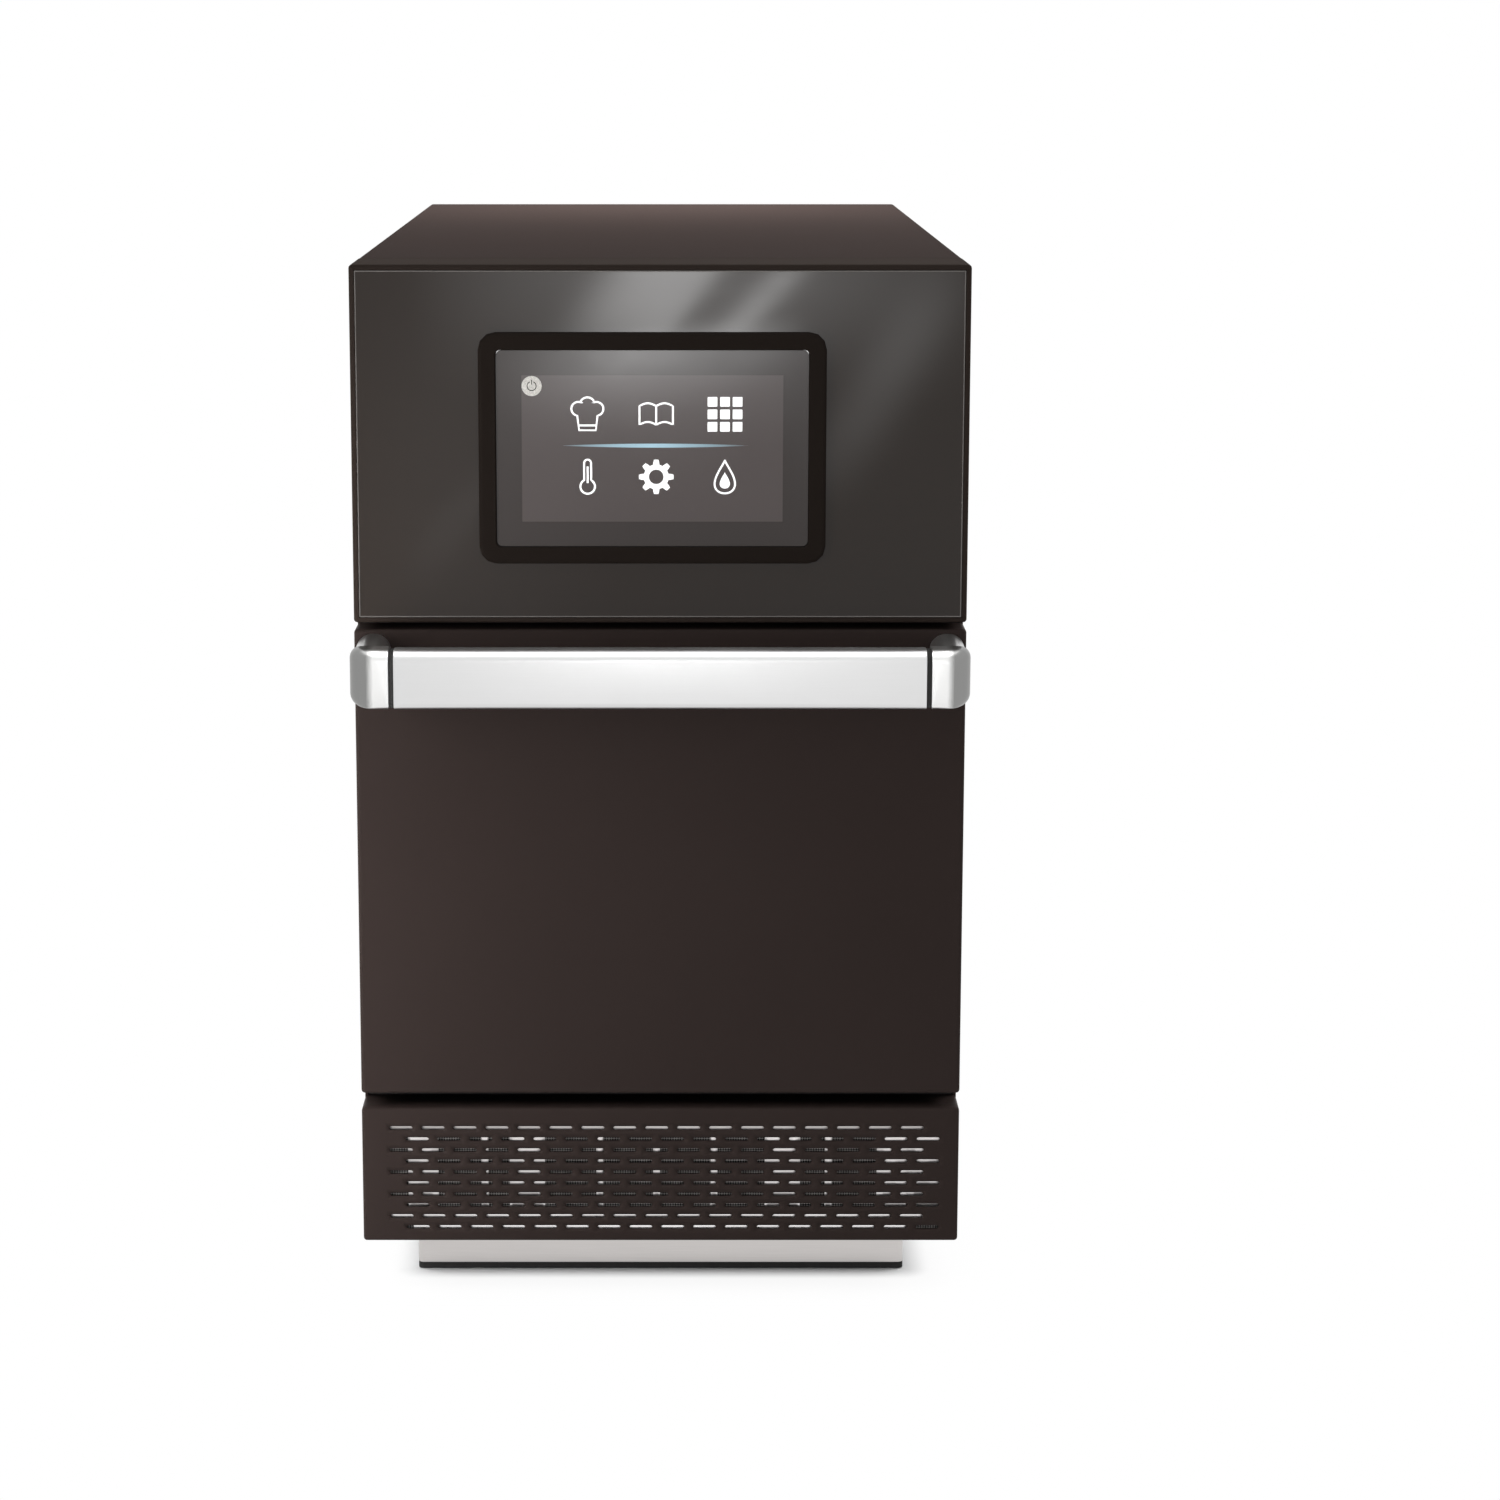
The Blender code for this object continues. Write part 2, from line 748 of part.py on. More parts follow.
def chamber(looks, plate_carrier):
    """The cooking chamber's liner and what lies in it and on it."""
    def mouth(grow, radius):
        return round_rectangle(-cavity_half - grow, cavity_half + grow, cavity_floor - grow,
                               cavity_roof + grow, radius)
    inner = mouth(0, cavity_radius)
    outer = mouth(sheet, cavity_radius + sheet)
    flange = mouth(cavity_flange, cavity_radius + cavity_flange)
    loops = [on_plane(inner, "Y", cavity_back), on_plane(inner, "Y", flange_front),
             on_plane(flange, "Y", flange_front), on_plane(flange, "Y", flange_front + sheet),
             on_plane(outer, "Y", flange_front + sheet), on_plane(outer, "Y", liner_back)]
    liner = make("cavity_liner", [loft(loops)], looks["steel"])
    back_half = back_opening_width / 2
    plate_x = duct_half_width - duct_margin
    plate_y = duct_half_depth - duct_margin
    jet_x = plate_x - jet_plate_margin
    jet_y = plate_y - jet_plate_margin
    cut(liner, "liner_openings", [
        block(-back_half, back_half, cavity_back - overrun, liner_back + overrun,
              chamber_level - back_opening_half_height, chamber_level + back_opening_half_height),
        block(-jet_x, jet_x, well_centre - jet_y, well_centre + jet_y,
              cavity_roof - overrun, liner_roof + overrun),
        block(-well_half_width, well_half_width, well_centre - well_half_depth, well_centre + well_half_depth,
              liner_bottom - overrun, cavity_floor + overrun)])

    rail_front = flange_front + rail_setback
    rail_low = cavity_floor + clearance
    rail_outer = cavity_half - cavity_radius
    rail_inner = rail_outer - rail_width
    rail_back = rail_front + rail_length
    outline = [(-rail_outer, rail_front), (-rail_inner, rail_front), (-rail_inner, rail_back - rail_width),
               (rail_inner, rail_back - rail_width), (rail_inner, rail_front), (rail_outer, rail_front),
               (rail_outer, rail_back), (-rail_outer, rail_back)]
    make("plate_rack", [prism(outline, "Z", rail_low, rail_low + rail_height)], looks["steel"])

    plate_front = rail_front + (rail_length - plate_depth) / 2

    def plate(inset):
        radius = max(plate_radius - inset, small_radius)
        return round_rectangle(inset - plate_half, plate_half - inset, plate_front + inset,
                               plate_front + plate_depth - inset, radius)
    rim = plate_rest + plate_rim
    loops = [on_plane(plate(plate_thickness), "Z", plate_rest),
             on_plane(plate(0), "Z", plate_rest + plate_thickness), on_plane(plate(0), "Z", rim),
             on_plane(plate(plate_thickness), "Z", rim),
             on_plane(plate(plate_thickness), "Z", plate_rest + plate_thickness)]
    make("cook_plate", [loft(loops)], looks["coated"], plate_carrier)

    outline = round_rectangle(-ceramic_half_width, ceramic_half_width, well_centre - ceramic_half_depth,
                              well_centre + ceramic_half_depth, ceramic_radius)
    make("ceramic_floor", [prism(outline, "Z", cavity_floor + clearance, ceramic_top)], looks["ceramic"])

    top = cavity_roof - clearance
    jets = make("upper_jet_plate", [block(-plate_x, plate_x, well_centre - plate_y, well_centre + plate_y,
                                          top - jet_plate_thickness, top)], looks["steel"])
    columns = spread(jet_count, (jet_x - jet_edge) * 2 / (jet_count - 1))
    rows = spread(jet_count, (jet_y - jet_edge) * 2 / (jet_count - 1))
    cut(jets, "jet_holes", [prism(circle(x, well_centre + y, jet_radius, screw_sides), "Z",
                                  top - jet_plate_thickness - overrun, top + overrun)
                            for x in columns for y in rows])

    def duct(inset):
        radius = max(edge_radius - inset, small_radius)
        return round_rectangle(inset - duct_half_width, duct_half_width - inset,
                               well_centre - duct_half_depth + inset,
                               well_centre + duct_half_depth - inset, radius)
    low = liner_roof + clearance
    high = low + duct_height
    loops = [on_plane(duct(sheet), "Z", high - sheet), on_plane(duct(sheet), "Z", low),
             on_plane(duct(0), "Z", low), on_plane(duct(0), "Z", high)]
    make("air_duct", [loft(loops)], looks["galvanised"])

    wool_low = cavity_floor + insulation_rise
    wool_front = frame_back + insulation_setback
    near = cavity_half + sheet + clearance
    far = half_width - sheet - clearance
    over = high + clearance
    wool_top = over + top_wool_thickness
    outline = [(-far, wool_low), (-near, wool_low), (-near, over), (near, over), (near, wool_low),
               (far, wool_low), (far, wool_top), (-far, wool_top)]
    make("insulation_wrap", [prism(outline, "Y", wool_front, liner_back - insulation_end_gap)], looks["wool"])

    y0 = cavity_back - support_setback
    x1 = support_width / 2
    low = plinth_top + heavy_sheet + clearance
    high = liner_bottom - clearance
    outline = [(y0, low), (y0 + support_foot, low), (y0 + support_foot, low + support_thickness),
               (y0 + support_thickness, low + support_thickness),
               (y0 + support_thickness, high - support_thickness),
               (y0 + support_foot, high - support_thickness), (y0 + support_foot, high), (y0, high)]
    support = make("cavity_support", [prism(outline, "X", -x1, x1)], looks["galvanised"])
    gap = guide_width / 2 + running_gap
    cut(support, "support_window", [block(guide_side - gap, guide_side + gap, y0 - overrun,
                                          y0 + support_thickness + clearance,
                                          guide_bottom - running_gap, guide_top + running_gap)])


def hot_air(looks, fan_carrier):
    """The grille, catalyst, fan, heater, housing and motor behind the chamber."""
    half_w = back_opening_width / 2 + grille_margin
    half_h = back_opening_half_height + grille_margin
    back = cavity_back - clearance
    grille = make("fan_grille", [block(-half_w, half_w, back - grille_thickness, back,
                                       chamber_level - half_h, chamber_level + half_h)], looks["steel"])
    opening = back_opening_half_height * 2
    grille_rows = count_in(opening - grille_slot_height, grille_slot_pitch)
    rows = [chamber_level + z for z in spread(grille_rows, grille_slot_pitch)]
    columns = spread(grille_columns, grille_column_pitch)
    cut(grille, "grille_slots", slot_grid(columns, rows, grille_slot_width, grille_slot_height,
                                          back - grille_thickness - overrun, back + overrun))

    near = liner_back + clearance
    catalyst = make("catalyst", [block(-half_w, half_w, near, near + catalyst_thickness,
                                       chamber_level - half_h, chamber_level + half_h)], looks["wool"])
    rows = [chamber_level + z for z in spread(count_in(opening, catalyst_row_pitch), catalyst_row_pitch)]
    columns = spread(count_in(back_opening_width, catalyst_pitch), catalyst_pitch)
    cut(catalyst, "catalyst_cells", slot_grid(columns, rows, catalyst_cell, catalyst_cell_height,
                                              near - overrun, near + catalyst_thickness + overrun))

    def shell(inset):
        radius = max(housing_radius - inset, small_radius)
        return round_rectangle(inset - housing_half_width, housing_half_width - inset,
                               chamber_level - housing_half_height + inset,
                               chamber_level + housing_half_height - inset, radius)
    loops = [on_plane(shell(sheet), "Y", housing_back - sheet), on_plane(shell(sheet), "Y", near),
             on_plane(shell(0), "Y", near), on_plane(shell(0), "Y", housing_back)]
    housing = make("fan_housing", [loft(loops)], looks["galvanised"])
    leg_level = chamber_level - math.sqrt(heater_radius ** 2 - heater_leg_spread ** 2)
    holes = [prism(circle(x, leg_level, heater_tube_radius + clearance, small_sides), "Y",
                   housing_back - sheet - overrun, housing_back + overrun)
             for x in (-heater_leg_spread, heater_leg_spread)]
    holes.append(prism(circle(0, chamber_level, shaft_radius + running_gap, round_sides), "Y",
                       housing_back - sheet - overrun, housing_back + overrun))
    cut(housing, "housing_holes", holes)

    start = math.asin(heater_leg_spread / heater_radius)
    middle = fan_front + fan_depth / 2
    ring = []
    for i in range(heater_steps + 1):
        angle = start + i / heater_steps * 2 * (math.pi - start)
        level = chamber_level - heater_radius * math.cos(angle)
        ring.append((-heater_radius * math.sin(angle), middle, level))
    leg_end = housing_back + heater_leg_out
    bend = middle + heater_tube_radius * 2
    points = [(-heater_leg_spread, leg_end, leg_level), (-heater_leg_spread, bend, leg_level), *ring,
              (heater_leg_spread, bend, leg_level), (heater_leg_spread, leg_end, leg_level)]
    make("heater_element", [tube(points, heater_tube_radius, screw_sides)], looks["element"])

    disc_back = fan_front + fan_depth
    disc_front = disc_back - fan_plate
    bore = shaft_radius + clearance
    hub_front = disc_back - fan_hub_length
    profile = [(bore, hub_front), (fan_hub_radius, hub_front), (fan_hub_radius, disc_front),
               (fan_radius, disc_front), (fan_radius, disc_back), (bore, disc_back)]
    fan = make("convection_fan", [turned(profile, "Y", 0, chamber_level, round_sides, ring=True)],
               looks["steel"], fan_carrier)
    blades = []
    half = fan_blade_thickness / 2
    for i in range(fan_blades):
        angle = 2 * math.pi * i / fan_blades
        out = Vector((math.cos(angle), 0, math.sin(angle)))
        across = Vector((-math.sin(angle), 0, math.cos(angle)))
        centre = Vector((0, 0, chamber_level))
        tip = fan_radius - fan_plate
        root = tip - fan_blade_length
        corners = [centre + out * r + across * s
                   for r, s in ((root, -half), (tip, -half), (tip, half), (root, half))]
        blades.append(loft([[(c.x, y, c.z) for c in corners]
                            for y in (fan_front, disc_back - fan_plate / 2)]))
    fuse(fan, "fan_blades", blades)
    shaft_back = motor_front + shaft_in_motor
    make("convection_shaft", [turned([(shaft_radius, hub_front), (shaft_radius, shaft_back)], "Y", 0,
                                     chamber_level, round_sides)], looks["screw"], fan_carrier)

    flange_back = motor_front + motor_flange_thickness
    end = motor_front + motor_length
    profile = [(motor_flange_radius, motor_front), (motor_flange_radius, flange_back),
               (motor_radius, flange_back), (motor_radius, end), (motor_cap_radius, end),
               (motor_cap_radius, end + motor_cap_length)]
    drum = turned(profile, "Y", 0, chamber_level, round_sides)
    motor = make("convection_motor", [drum], looks["galvanised"])
    holes = [prism(circle(x, leg_level, heater_tube_radius + running_gap, small_sides), "Y",
                   motor_front - overrun, flange_back + overrun)
             for x in (-heater_leg_spread, heater_leg_spread)
             if chamber_level - leg_level < motor_flange_radius + heater_tube_radius + running_gap]
    holes.append(prism(circle(0, chamber_level, shaft_radius + clearance, round_sides), "Y",
                       motor_front - overrun, shaft_back + clearance))
    cut(motor, "motor_bore", holes)


def microwave(looks, stirrer_carrier):
    """The stirrer well, stirrer, its motor, the waveguide and the magnetron."""
    def well(inset, radius):
        return round_rectangle(inset - well_half_width, well_half_width - inset,
                               well_centre - well_half_depth + inset,
                               well_centre + well_half_depth - inset, radius)
    inside = well(sheet, well_radius - sheet)
    outside = well(0, well_radius)
    flange = well(-well_flange, well_radius + well_flange)
    low = well_top - sheet
    loops = [on_plane(inside, "Z", well_bottom + sheet), on_plane(inside, "Z", well_top),
             on_plane(flange, "Z", well_top), on_plane(flange, "Z", low),
             on_plane(outside, "Z", low), on_plane(outside, "Z", well_bottom)]
    pan = make("stirrer_well", [loft(loops)], looks["steel"])
    window_front = guide_front + sheet + running_gap
    window_low = guide_side - guide_width / 2 + sheet
    window_high = well_half_width - sheet - well_radius
    shaft_hole = circle(0, well_centre, stirrer_shaft_radius + running_gap, small_sides)
    cut(pan, "well_holes", [
        prism(shaft_hole, "Z", well_bottom - overrun, well_bottom + sheet + overrun),
        block(window_low, window_high, window_front, window_front + guide_window,
              well_bottom - overrun, well_bottom + sheet + overrun)])

    x0 = guide_side - guide_width / 2
    x1 = guide_side + guide_width / 2
    outer = rectangle(x0, x1, guide_bottom, guide_top)
    inner = rectangle(x0 + sheet, x1 - sheet, guide_bottom + sheet, guide_top - sheet)
    loops = [on_plane(outer, "Y", guide_front), on_plane(outer, "Y", guide_back),
             on_plane(inner, "Y", guide_back), on_plane(inner, "Y", guide_front)]
    guide = make("waveguide", [loft(loops, ring=True)], looks["steel"])
    antenna_hole = circle(guide_side, magnetron_centre, antenna_radius + running_gap, small_sides)
    cut(guide, "guide_holes", [
        block(window_low, window_high, window_front, window_front + guide_window, guide_top - sheet - overrun,
              guide_top + overrun),
        prism(antenna_hole, "Z", guide_top - sheet - overrun, guide_top + overrun)])

    half_w = magnetron_width / 2
    half_d = magnetron_depth / 2
    low = guide_top + clearance
    body = rectangle(guide_side - half_w, guide_side + half_w,
                     magnetron_centre - half_d, magnetron_centre + half_d)
    tube_body = make("magnetron", [prism(body, "Z", low, low + magnetron_height)], looks["galvanised"])
    middle = low + magnetron_height / 2
    reach = half_w + magnetron_fin_reach
    half = magnetron_fin_thickness / 2
    fins = [block(guide_side - reach, guide_side + reach, magnetron_centre - half_d + overrun,
                  magnetron_centre + half_d - overrun, middle + z - half, middle + z + half)
            for z in spread(magnetron_fins, magnetron_fin_pitch)]
    antenna = circle(guide_side, magnetron_centre, antenna_radius, small_sides)
    fuse(tube_body, "magnetron_fins", [*fins, prism(antenna, "Z", low - antenna_length, low + overrun)])

    plate_low = well_bottom + sheet + stirrer_lift
    plate_high = plate_low + stirrer_plate
    motor_top = well_bottom - clearance
    shaft_low = motor_top - stirrer_motor_height / 2
    profile = [(stirrer_shaft_radius, shaft_low), (stirrer_shaft_radius, plate_low - overrun),
               (stirrer_hub_radius, plate_low - overrun), (stirrer_hub_radius, plate_low),
               (stirrer_radius, plate_low), (stirrer_radius, plate_high)]
    stirrer = make("stirrer_blade", [turned(profile, "Z", 0, well_centre, round_sides)], looks["steel"],
                   stirrer_carrier)
    vanes = []
    half = stirrer_vane_thickness / 2
    for i in range(stirrer_vanes):
        angle = math.pi / stirrer_vanes + 2 * math.pi * i / stirrer_vanes
        out = Vector((math.cos(angle), math.sin(angle), 0))
        across = Vector((-math.sin(angle), math.cos(angle), 0))
        centre = Vector((0, well_centre, 0))
        tip = stirrer_radius - stirrer_hub_radius
        corners = [centre + out * r + across * s for r, s in
                   ((tip - stirrer_vane_length, -half), (tip, -half), (tip, half),
                    (tip - stirrer_vane_length, half))]
        vanes.append(loft([[(c.x, c.y, z) for c in corners]
                           for z in (plate_high - stirrer_plate / 2, plate_high + stirrer_vane_height)]))
    fuse(stirrer, "stirrer_vanes", vanes)

    profile = [(stirrer_motor_radius, motor_top - stirrer_motor_height), (stirrer_motor_radius, motor_top)]
    motor = make("stirrer_motor", [turned(profile, "Z", 0, well_centre, round_sides)], looks["galvanised"])
    hole = circle(0, well_centre, stirrer_shaft_radius + clearance, small_sides)
    cut(motor, "stirrer_motor_bore", [prism(hole, "Z", shaft_low - clearance, motor_top + overrun)])


def cooling(looks, rotor_carrier):
    """The axial fan that stands on the base pan behind the intake."""
    low = plinth_top + heavy_sheet + clearance
    level = low + cooling_frame_size / 2
    half = cooling_frame_size / 2
    y0 = frame_back + cooling_setback
    y1 = y0 + cooling_frame_depth
    outline = round_rectangle(-half, half, low, low + cooling_frame_size, cooling_frame_radius)
    frame = make("cooling_fan_frame", [prism(outline, "Y", y0, y1)], looks["black_plastic"])
    strut_front = y1 - cooling_strut_depth
    cut(frame, "cooling_bore", [prism(circle(0, level, cooling_bore_radius, round_sides), "Y",
                                      y0 - overrun, y1 + overrun)])
    reach = cooling_bore_radius + running_gap
    strut = cooling_strut / 2
    fuse(frame, "cooling_strut_across", [block(-reach, reach, strut_front, y1 - clearance,
                                               level - strut, level + strut)])
    fuse(frame, "cooling_strut_upright", [block(-strut, strut, strut_front, y1 - clearance,
                                                level - reach, level + reach)])
    boss = [(cooling_boss_radius, strut_front - cooling_strut_depth / 2), (cooling_boss_radius, y1)]
    fuse(frame, "cooling_boss", [turned(boss, "Y", 0, level, round_sides)])
    boss_front = boss[0][1]
    bore = circle(0, level, cooling_spindle_radius + clearance, small_sides)
    cut(frame, "cooling_spindle_bore", [prism(bore, "Y", boss_front - overrun, y1 - cooling_strut_depth / 2)])

    hub_front = y0 + running_gap
    hub_back = boss_front - clearance
    spindle_back = boss_front + cooling_strut_depth / 2
    profile = [(cooling_hub_radius - edge_radius, hub_front), (cooling_hub_radius, hub_front + edge_radius),
               (cooling_hub_radius, hub_back), (cooling_spindle_radius, hub_back),
               (cooling_spindle_radius, spindle_back)]
    rotor = make("cooling_fan_rotor", [turned(profile, "Y", 0, level, round_sides)], looks["black_plastic"],
                 rotor_carrier)
    blades = []
    thick = cooling_blade_thickness / 2
    tip = cooling_bore_radius - running_gap * 2
    middle = (hub_front + hub_back) / 2
    for i in range(cooling_blades):
        angle = 2 * math.pi * i / cooling_blades
        out = Vector((math.cos(angle), 0, math.sin(angle)))
        across = Vector((-math.sin(angle), 0, math.cos(angle)))
        slope = (across + Vector((0, 1, 0))).normalized() * cooling_blade_depth / 2
        normal = slope.cross(out).normalized() * thick
        centre = Vector((0, middle, level))
        loops = []
        for radius in (cooling_hub_radius - edge_radius, tip):
            root = centre + out * radius
            loops.append([tuple(root + a * slope + b * normal)
                          for a, b in ((-1, -1), (1, -1), (1, 1), (-1, 1))])
        blades.append(loft(loops))
    fuse(rotor, "cooling_blades", blades)


def electronics(looks):
    """The shelf above the chamber, with the power board and the inverter on it."""
    y0 = front + fascia_depth + shelf_setback
    low = shelf_level
    lip = low + shelf_lip
    top = low + sheet
    outline = [(-inner_half, low), (inner_half, low), (inner_half, lip), (inner_half - sheet, lip),
               (inner_half - sheet, top), (sheet - inner_half, top),
               (sheet - inner_half, lip), (-inner_half, lip)]
    make("electronics_shelf", [prism(outline, "Y", y0, y0 + shelf_length)], looks["galvanised"])

    rest = top + clearance
    x0 = board_wall_gap - inner_half
    x1 = -board_middle_gap
    across = (x0 + x1) / 2
    start = y0 + board_setback
    end = start + board_length
    board_low = rest + board_lift
    board_high = board_low + board_thickness
    board = make("power_board", [block(x0, x1, start, end, board_low, board_high)], looks["board"])
    posts = [prism(circle(x, y, board_post_radius, small_sides), "Z", rest, board_low + board_thickness / 2)
             for x in (x0 + board_margin, x1 - board_margin)
             for y in (start + board_margin, end - board_margin)]
    middle = (start + end) / 2
    half = relay_length / 2
    relays = [block(across - half, across + half, middle + y - relay_width / 2,
                    middle + y + relay_width / 2, board_high - board_thickness / 2, board_high + relay_height)
              for y in spread(relay_count, relay_pitch)]
    fuse(board, "board_posts", posts + relays)

    x0 = inverter_middle_gap
    x1 = inner_half - inverter_wall_gap
    across = (x0 + x1) / 2
    start = y0 + inverter_setback
    end = start + inverter_length
    body_top = rest + inverter_height
    inverter = make("inverter", [block(x0, x1, start, end, rest, body_top)], looks["galvanised"])
    half = inverter_fin_thickness / 2
    inverter_fins = count_in(x1 - x0, inverter_fin_pitch)
    fins = [block(across + x - half, across + x + half, start + overrun, end - overrun,
                  body_top - overrun, body_top + inverter_fin_height)
            for x in spread(inverter_fins, inverter_fin_pitch)]
    fuse(inverter, "inverter_fins", fins)


def fascia(looks):
    """The hood round the glass front, the glass, the screen's frame, the screen and what is behind it."""
    def hood(inset):
        radius = max(edge_radius - inset, small_radius)
        return round_rectangle(inset - half_width, half_width - inset, fascia_bottom + inset,
                               case_height - inset, radius)
    seat = glass_back + clearance
    back = front + fascia_depth
    loops = [on_plane(outline, "Y", level) for outline, level in rounded_edge(hood, front, 1, edge_radius)]
    loops += [on_plane(hood(inset), "Y", level) for inset, level in (
        (0, back), (fascia_wall, back), (fascia_wall, seat + fascia_wall),
        (fascia_rim + fascia_shelf, seat + fascia_wall), (fascia_rim + fascia_shelf, seat),
        (fascia_rim, seat), (fascia_rim, front))]
    make("fascia_housing", [loft(loops, ring=True)], looks["fascia"])

    def bezel(inset):
        radius = max(bezel_radius - inset, small_radius)
        return round_rectangle(inset - bezel_width / 2 - bezel_side_offset,
                               bezel_width / 2 - bezel_side_offset - inset,
                               bezel_level - bezel_height / 2 + inset,
                               bezel_level + bezel_height / 2 - inset, radius)
    edge = hood(fascia_rim + clearance)
    hole = bezel(bezel_flange)
    loops = [on_plane(edge, "Y", glass_front), on_plane(edge, "Y", glass_back),
             on_plane(hole, "Y", glass_back), on_plane(hole, "Y", glass_front)]
    make("fascia_glass", [loft(loops, ring=True)], looks["glass"])

    def window(grow):
        return round_rectangle(-window_half_width - bezel_side_offset - grow,
                               window_half_width - bezel_side_offset + grow,
                               bezel_level - window_half_height - grow,
                               bezel_level + window_half_height + grow, window_radius)
    neck = bezel(bezel_flange + clearance)
    flange_back = glass_front - clearance
    loops = [on_plane(outline, "Y", level)
             for outline, level in rounded_edge(bezel, bezel_front, 1, edge_radius)]
    loops += [on_plane(bezel(0), "Y", flange_back), on_plane(neck, "Y", flange_back),
              on_plane(neck, "Y", bezel_back), on_plane(window(0), "Y", bezel_back),
              on_plane(window(0), "Y", bezel_front + small_radius),
              on_plane(window(small_radius), "Y", bezel_front)]
    make("screen_bezel", [loft(loops, ring=True)], looks["bezel"])

    screen_front = bezel_front + screen_set
    make("touch_screen", [prism(window(-clearance), "Y", screen_front, screen_back)], looks["screen"])
    x0 = -module_half_width - bezel_side_offset
    x1 = module_half_width - bezel_side_offset
    half = module_half_height
    make("display_module", [block(x0, x1, screen_back + clearance, module_back,
                                  bezel_level - half, bezel_level + half)], looks["galvanised"])
    x0 += control_board_side_inset
    x1 -= control_board_side_inset
    half = module_half_height - control_board_end_inset
    start = module_back + clearance
    board = make("control_board", [block(x0, x1, start, start + board_thickness,
                                         bezel_level - half, bezel_level + half)], looks["board"])
    chip = control_chip / 2
    fuse(board, "control_chips", [block(x - chip, x + chip, start + board_thickness / 2,
                                        start + board_thickness + control_chip_height,
                                        bezel_level - chip, bezel_level + chip)
                                  for x in spread(2, control_chip * 2)])


def hinge_notch(direction):
    """The space that a hinge arm needs in the door as the door swings down."""
    arm = direction * arm_side
    half = arm_thickness / 2 + running_gap
    return block(arm - half, arm + half, pivot[0] - arm_radius - running_gap, skin_back + overrun,
                 door_bottom - overrun, pivot[1] + arm_radius + running_gap)


def door(looks, carrier):
    """The door's skin, choke plate, seal, hinge plates and interlock hooks."""
    skin = rounded_pan(-half_width, half_width, door_bottom, door_top, sheet, door_thickness,
                       looks["casing"], "door_skin", carrier)
    notches = [hinge_notch(direction) for direction in (-1, 1)]
    hole = handle_screw_radius + clearance
    shanks = [prism(circle(side, screw_level, hole, small_sides), "Y", front - overrun, front + sheet + overrun)
              for side in (-screw_side, screw_side)]
    cut(skin, "skin_holes", notches + shanks)

    def plate(inset, radius):
        return round_rectangle(inset - half_width, half_width - inset, door_bottom + inset,
                               door_top - inset, radius)

    def plug(inset):
        radius = cavity_radius - inset
        grow = plug_clearance + inset
        return round_rectangle(grow - cavity_half, cavity_half - grow, cavity_floor + grow,
                               cavity_roof - grow, radius)
    edge = plate(sheet + clearance, small_radius)
    plate_front = skin_back - sheet
    plug_back = skin_back + plug_depth
    loops = [on_plane(plug(sheet), "Y", plug_back - sheet), on_plane(plug(sheet), "Y", plate_front),
             on_plane(edge, "Y", plate_front), on_plane(edge, "Y", skin_back),
             on_plane(plug(0), "Y", skin_back), on_plane(plug(0), "Y", plug_back)]
    inner = make("door_inner_plate", [loft(loops)], looks["steel"], carrier)
    cut(inner, "plate_notches", [hinge_notch(direction) for direction in (-1, 1)])

    def seal(grow):
        return round_rectangle(-cavity_half - grow, cavity_half + grow, cavity_floor - grow,
                               cavity_roof + grow, cavity_radius + grow)
    y0 = skin_back + clearance
    y1 = flange_front - clearance
    low = seal(seal_inset)
    high = seal(seal_inset + seal_width)
    loops = [on_plane(high, "Y", y0), on_plane(high, "Y", y1), on_plane(low, "Y", y1), on_plane(low, "Y", y0)]
    make("door_seal", [loft(loops, ring=True)], looks["rubber"], carrier)

    pin_hole = circle(*pivot, pin_radius + clearance, small_sides)
    low = door_bottom + hinge_plate_rise
    outline = rectangle(front + sheet + clearance, plate_front - clearance, low, low + hinge_plate_height)
    near = arm_side + arm_thickness / 2 + running_gap
    far = near + hinge_plate_thickness
    for name, x0, x1 in (("hinge_plate_left", -far, -near), ("hinge_plate_right", near, far)):
        leaf = make(name, [prism(outline, "X", x0, x1)], looks["galvanised"], carrier)
        cut(leaf, name + "_hole", [prism(pin_hole, "X", x0 - overrun, x1 + overrun)])

    low = hook_level - hook_height / 2
    high = hook_level + hook_height / 2
    tip = skin_back + hook_reach
    neck = tip - hook_height
    outline = [(skin_back + clearance, low), (neck, low), (neck, low + hook_notch),
               (tip - hook_notch, low + hook_notch), (tip - hook_notch, low), (tip, low),
               (tip, high - hook_notch), (tip - hook_notch, high),
               (skin_back + clearance, high)]
    for name, middle in (("interlock_hook_left", -hook_side), ("interlock_hook_right", hook_side)):
        half = hook_thickness / 2
        make(name, [prism(outline, "X", middle - half, middle + half)], looks["screw"], carrier)


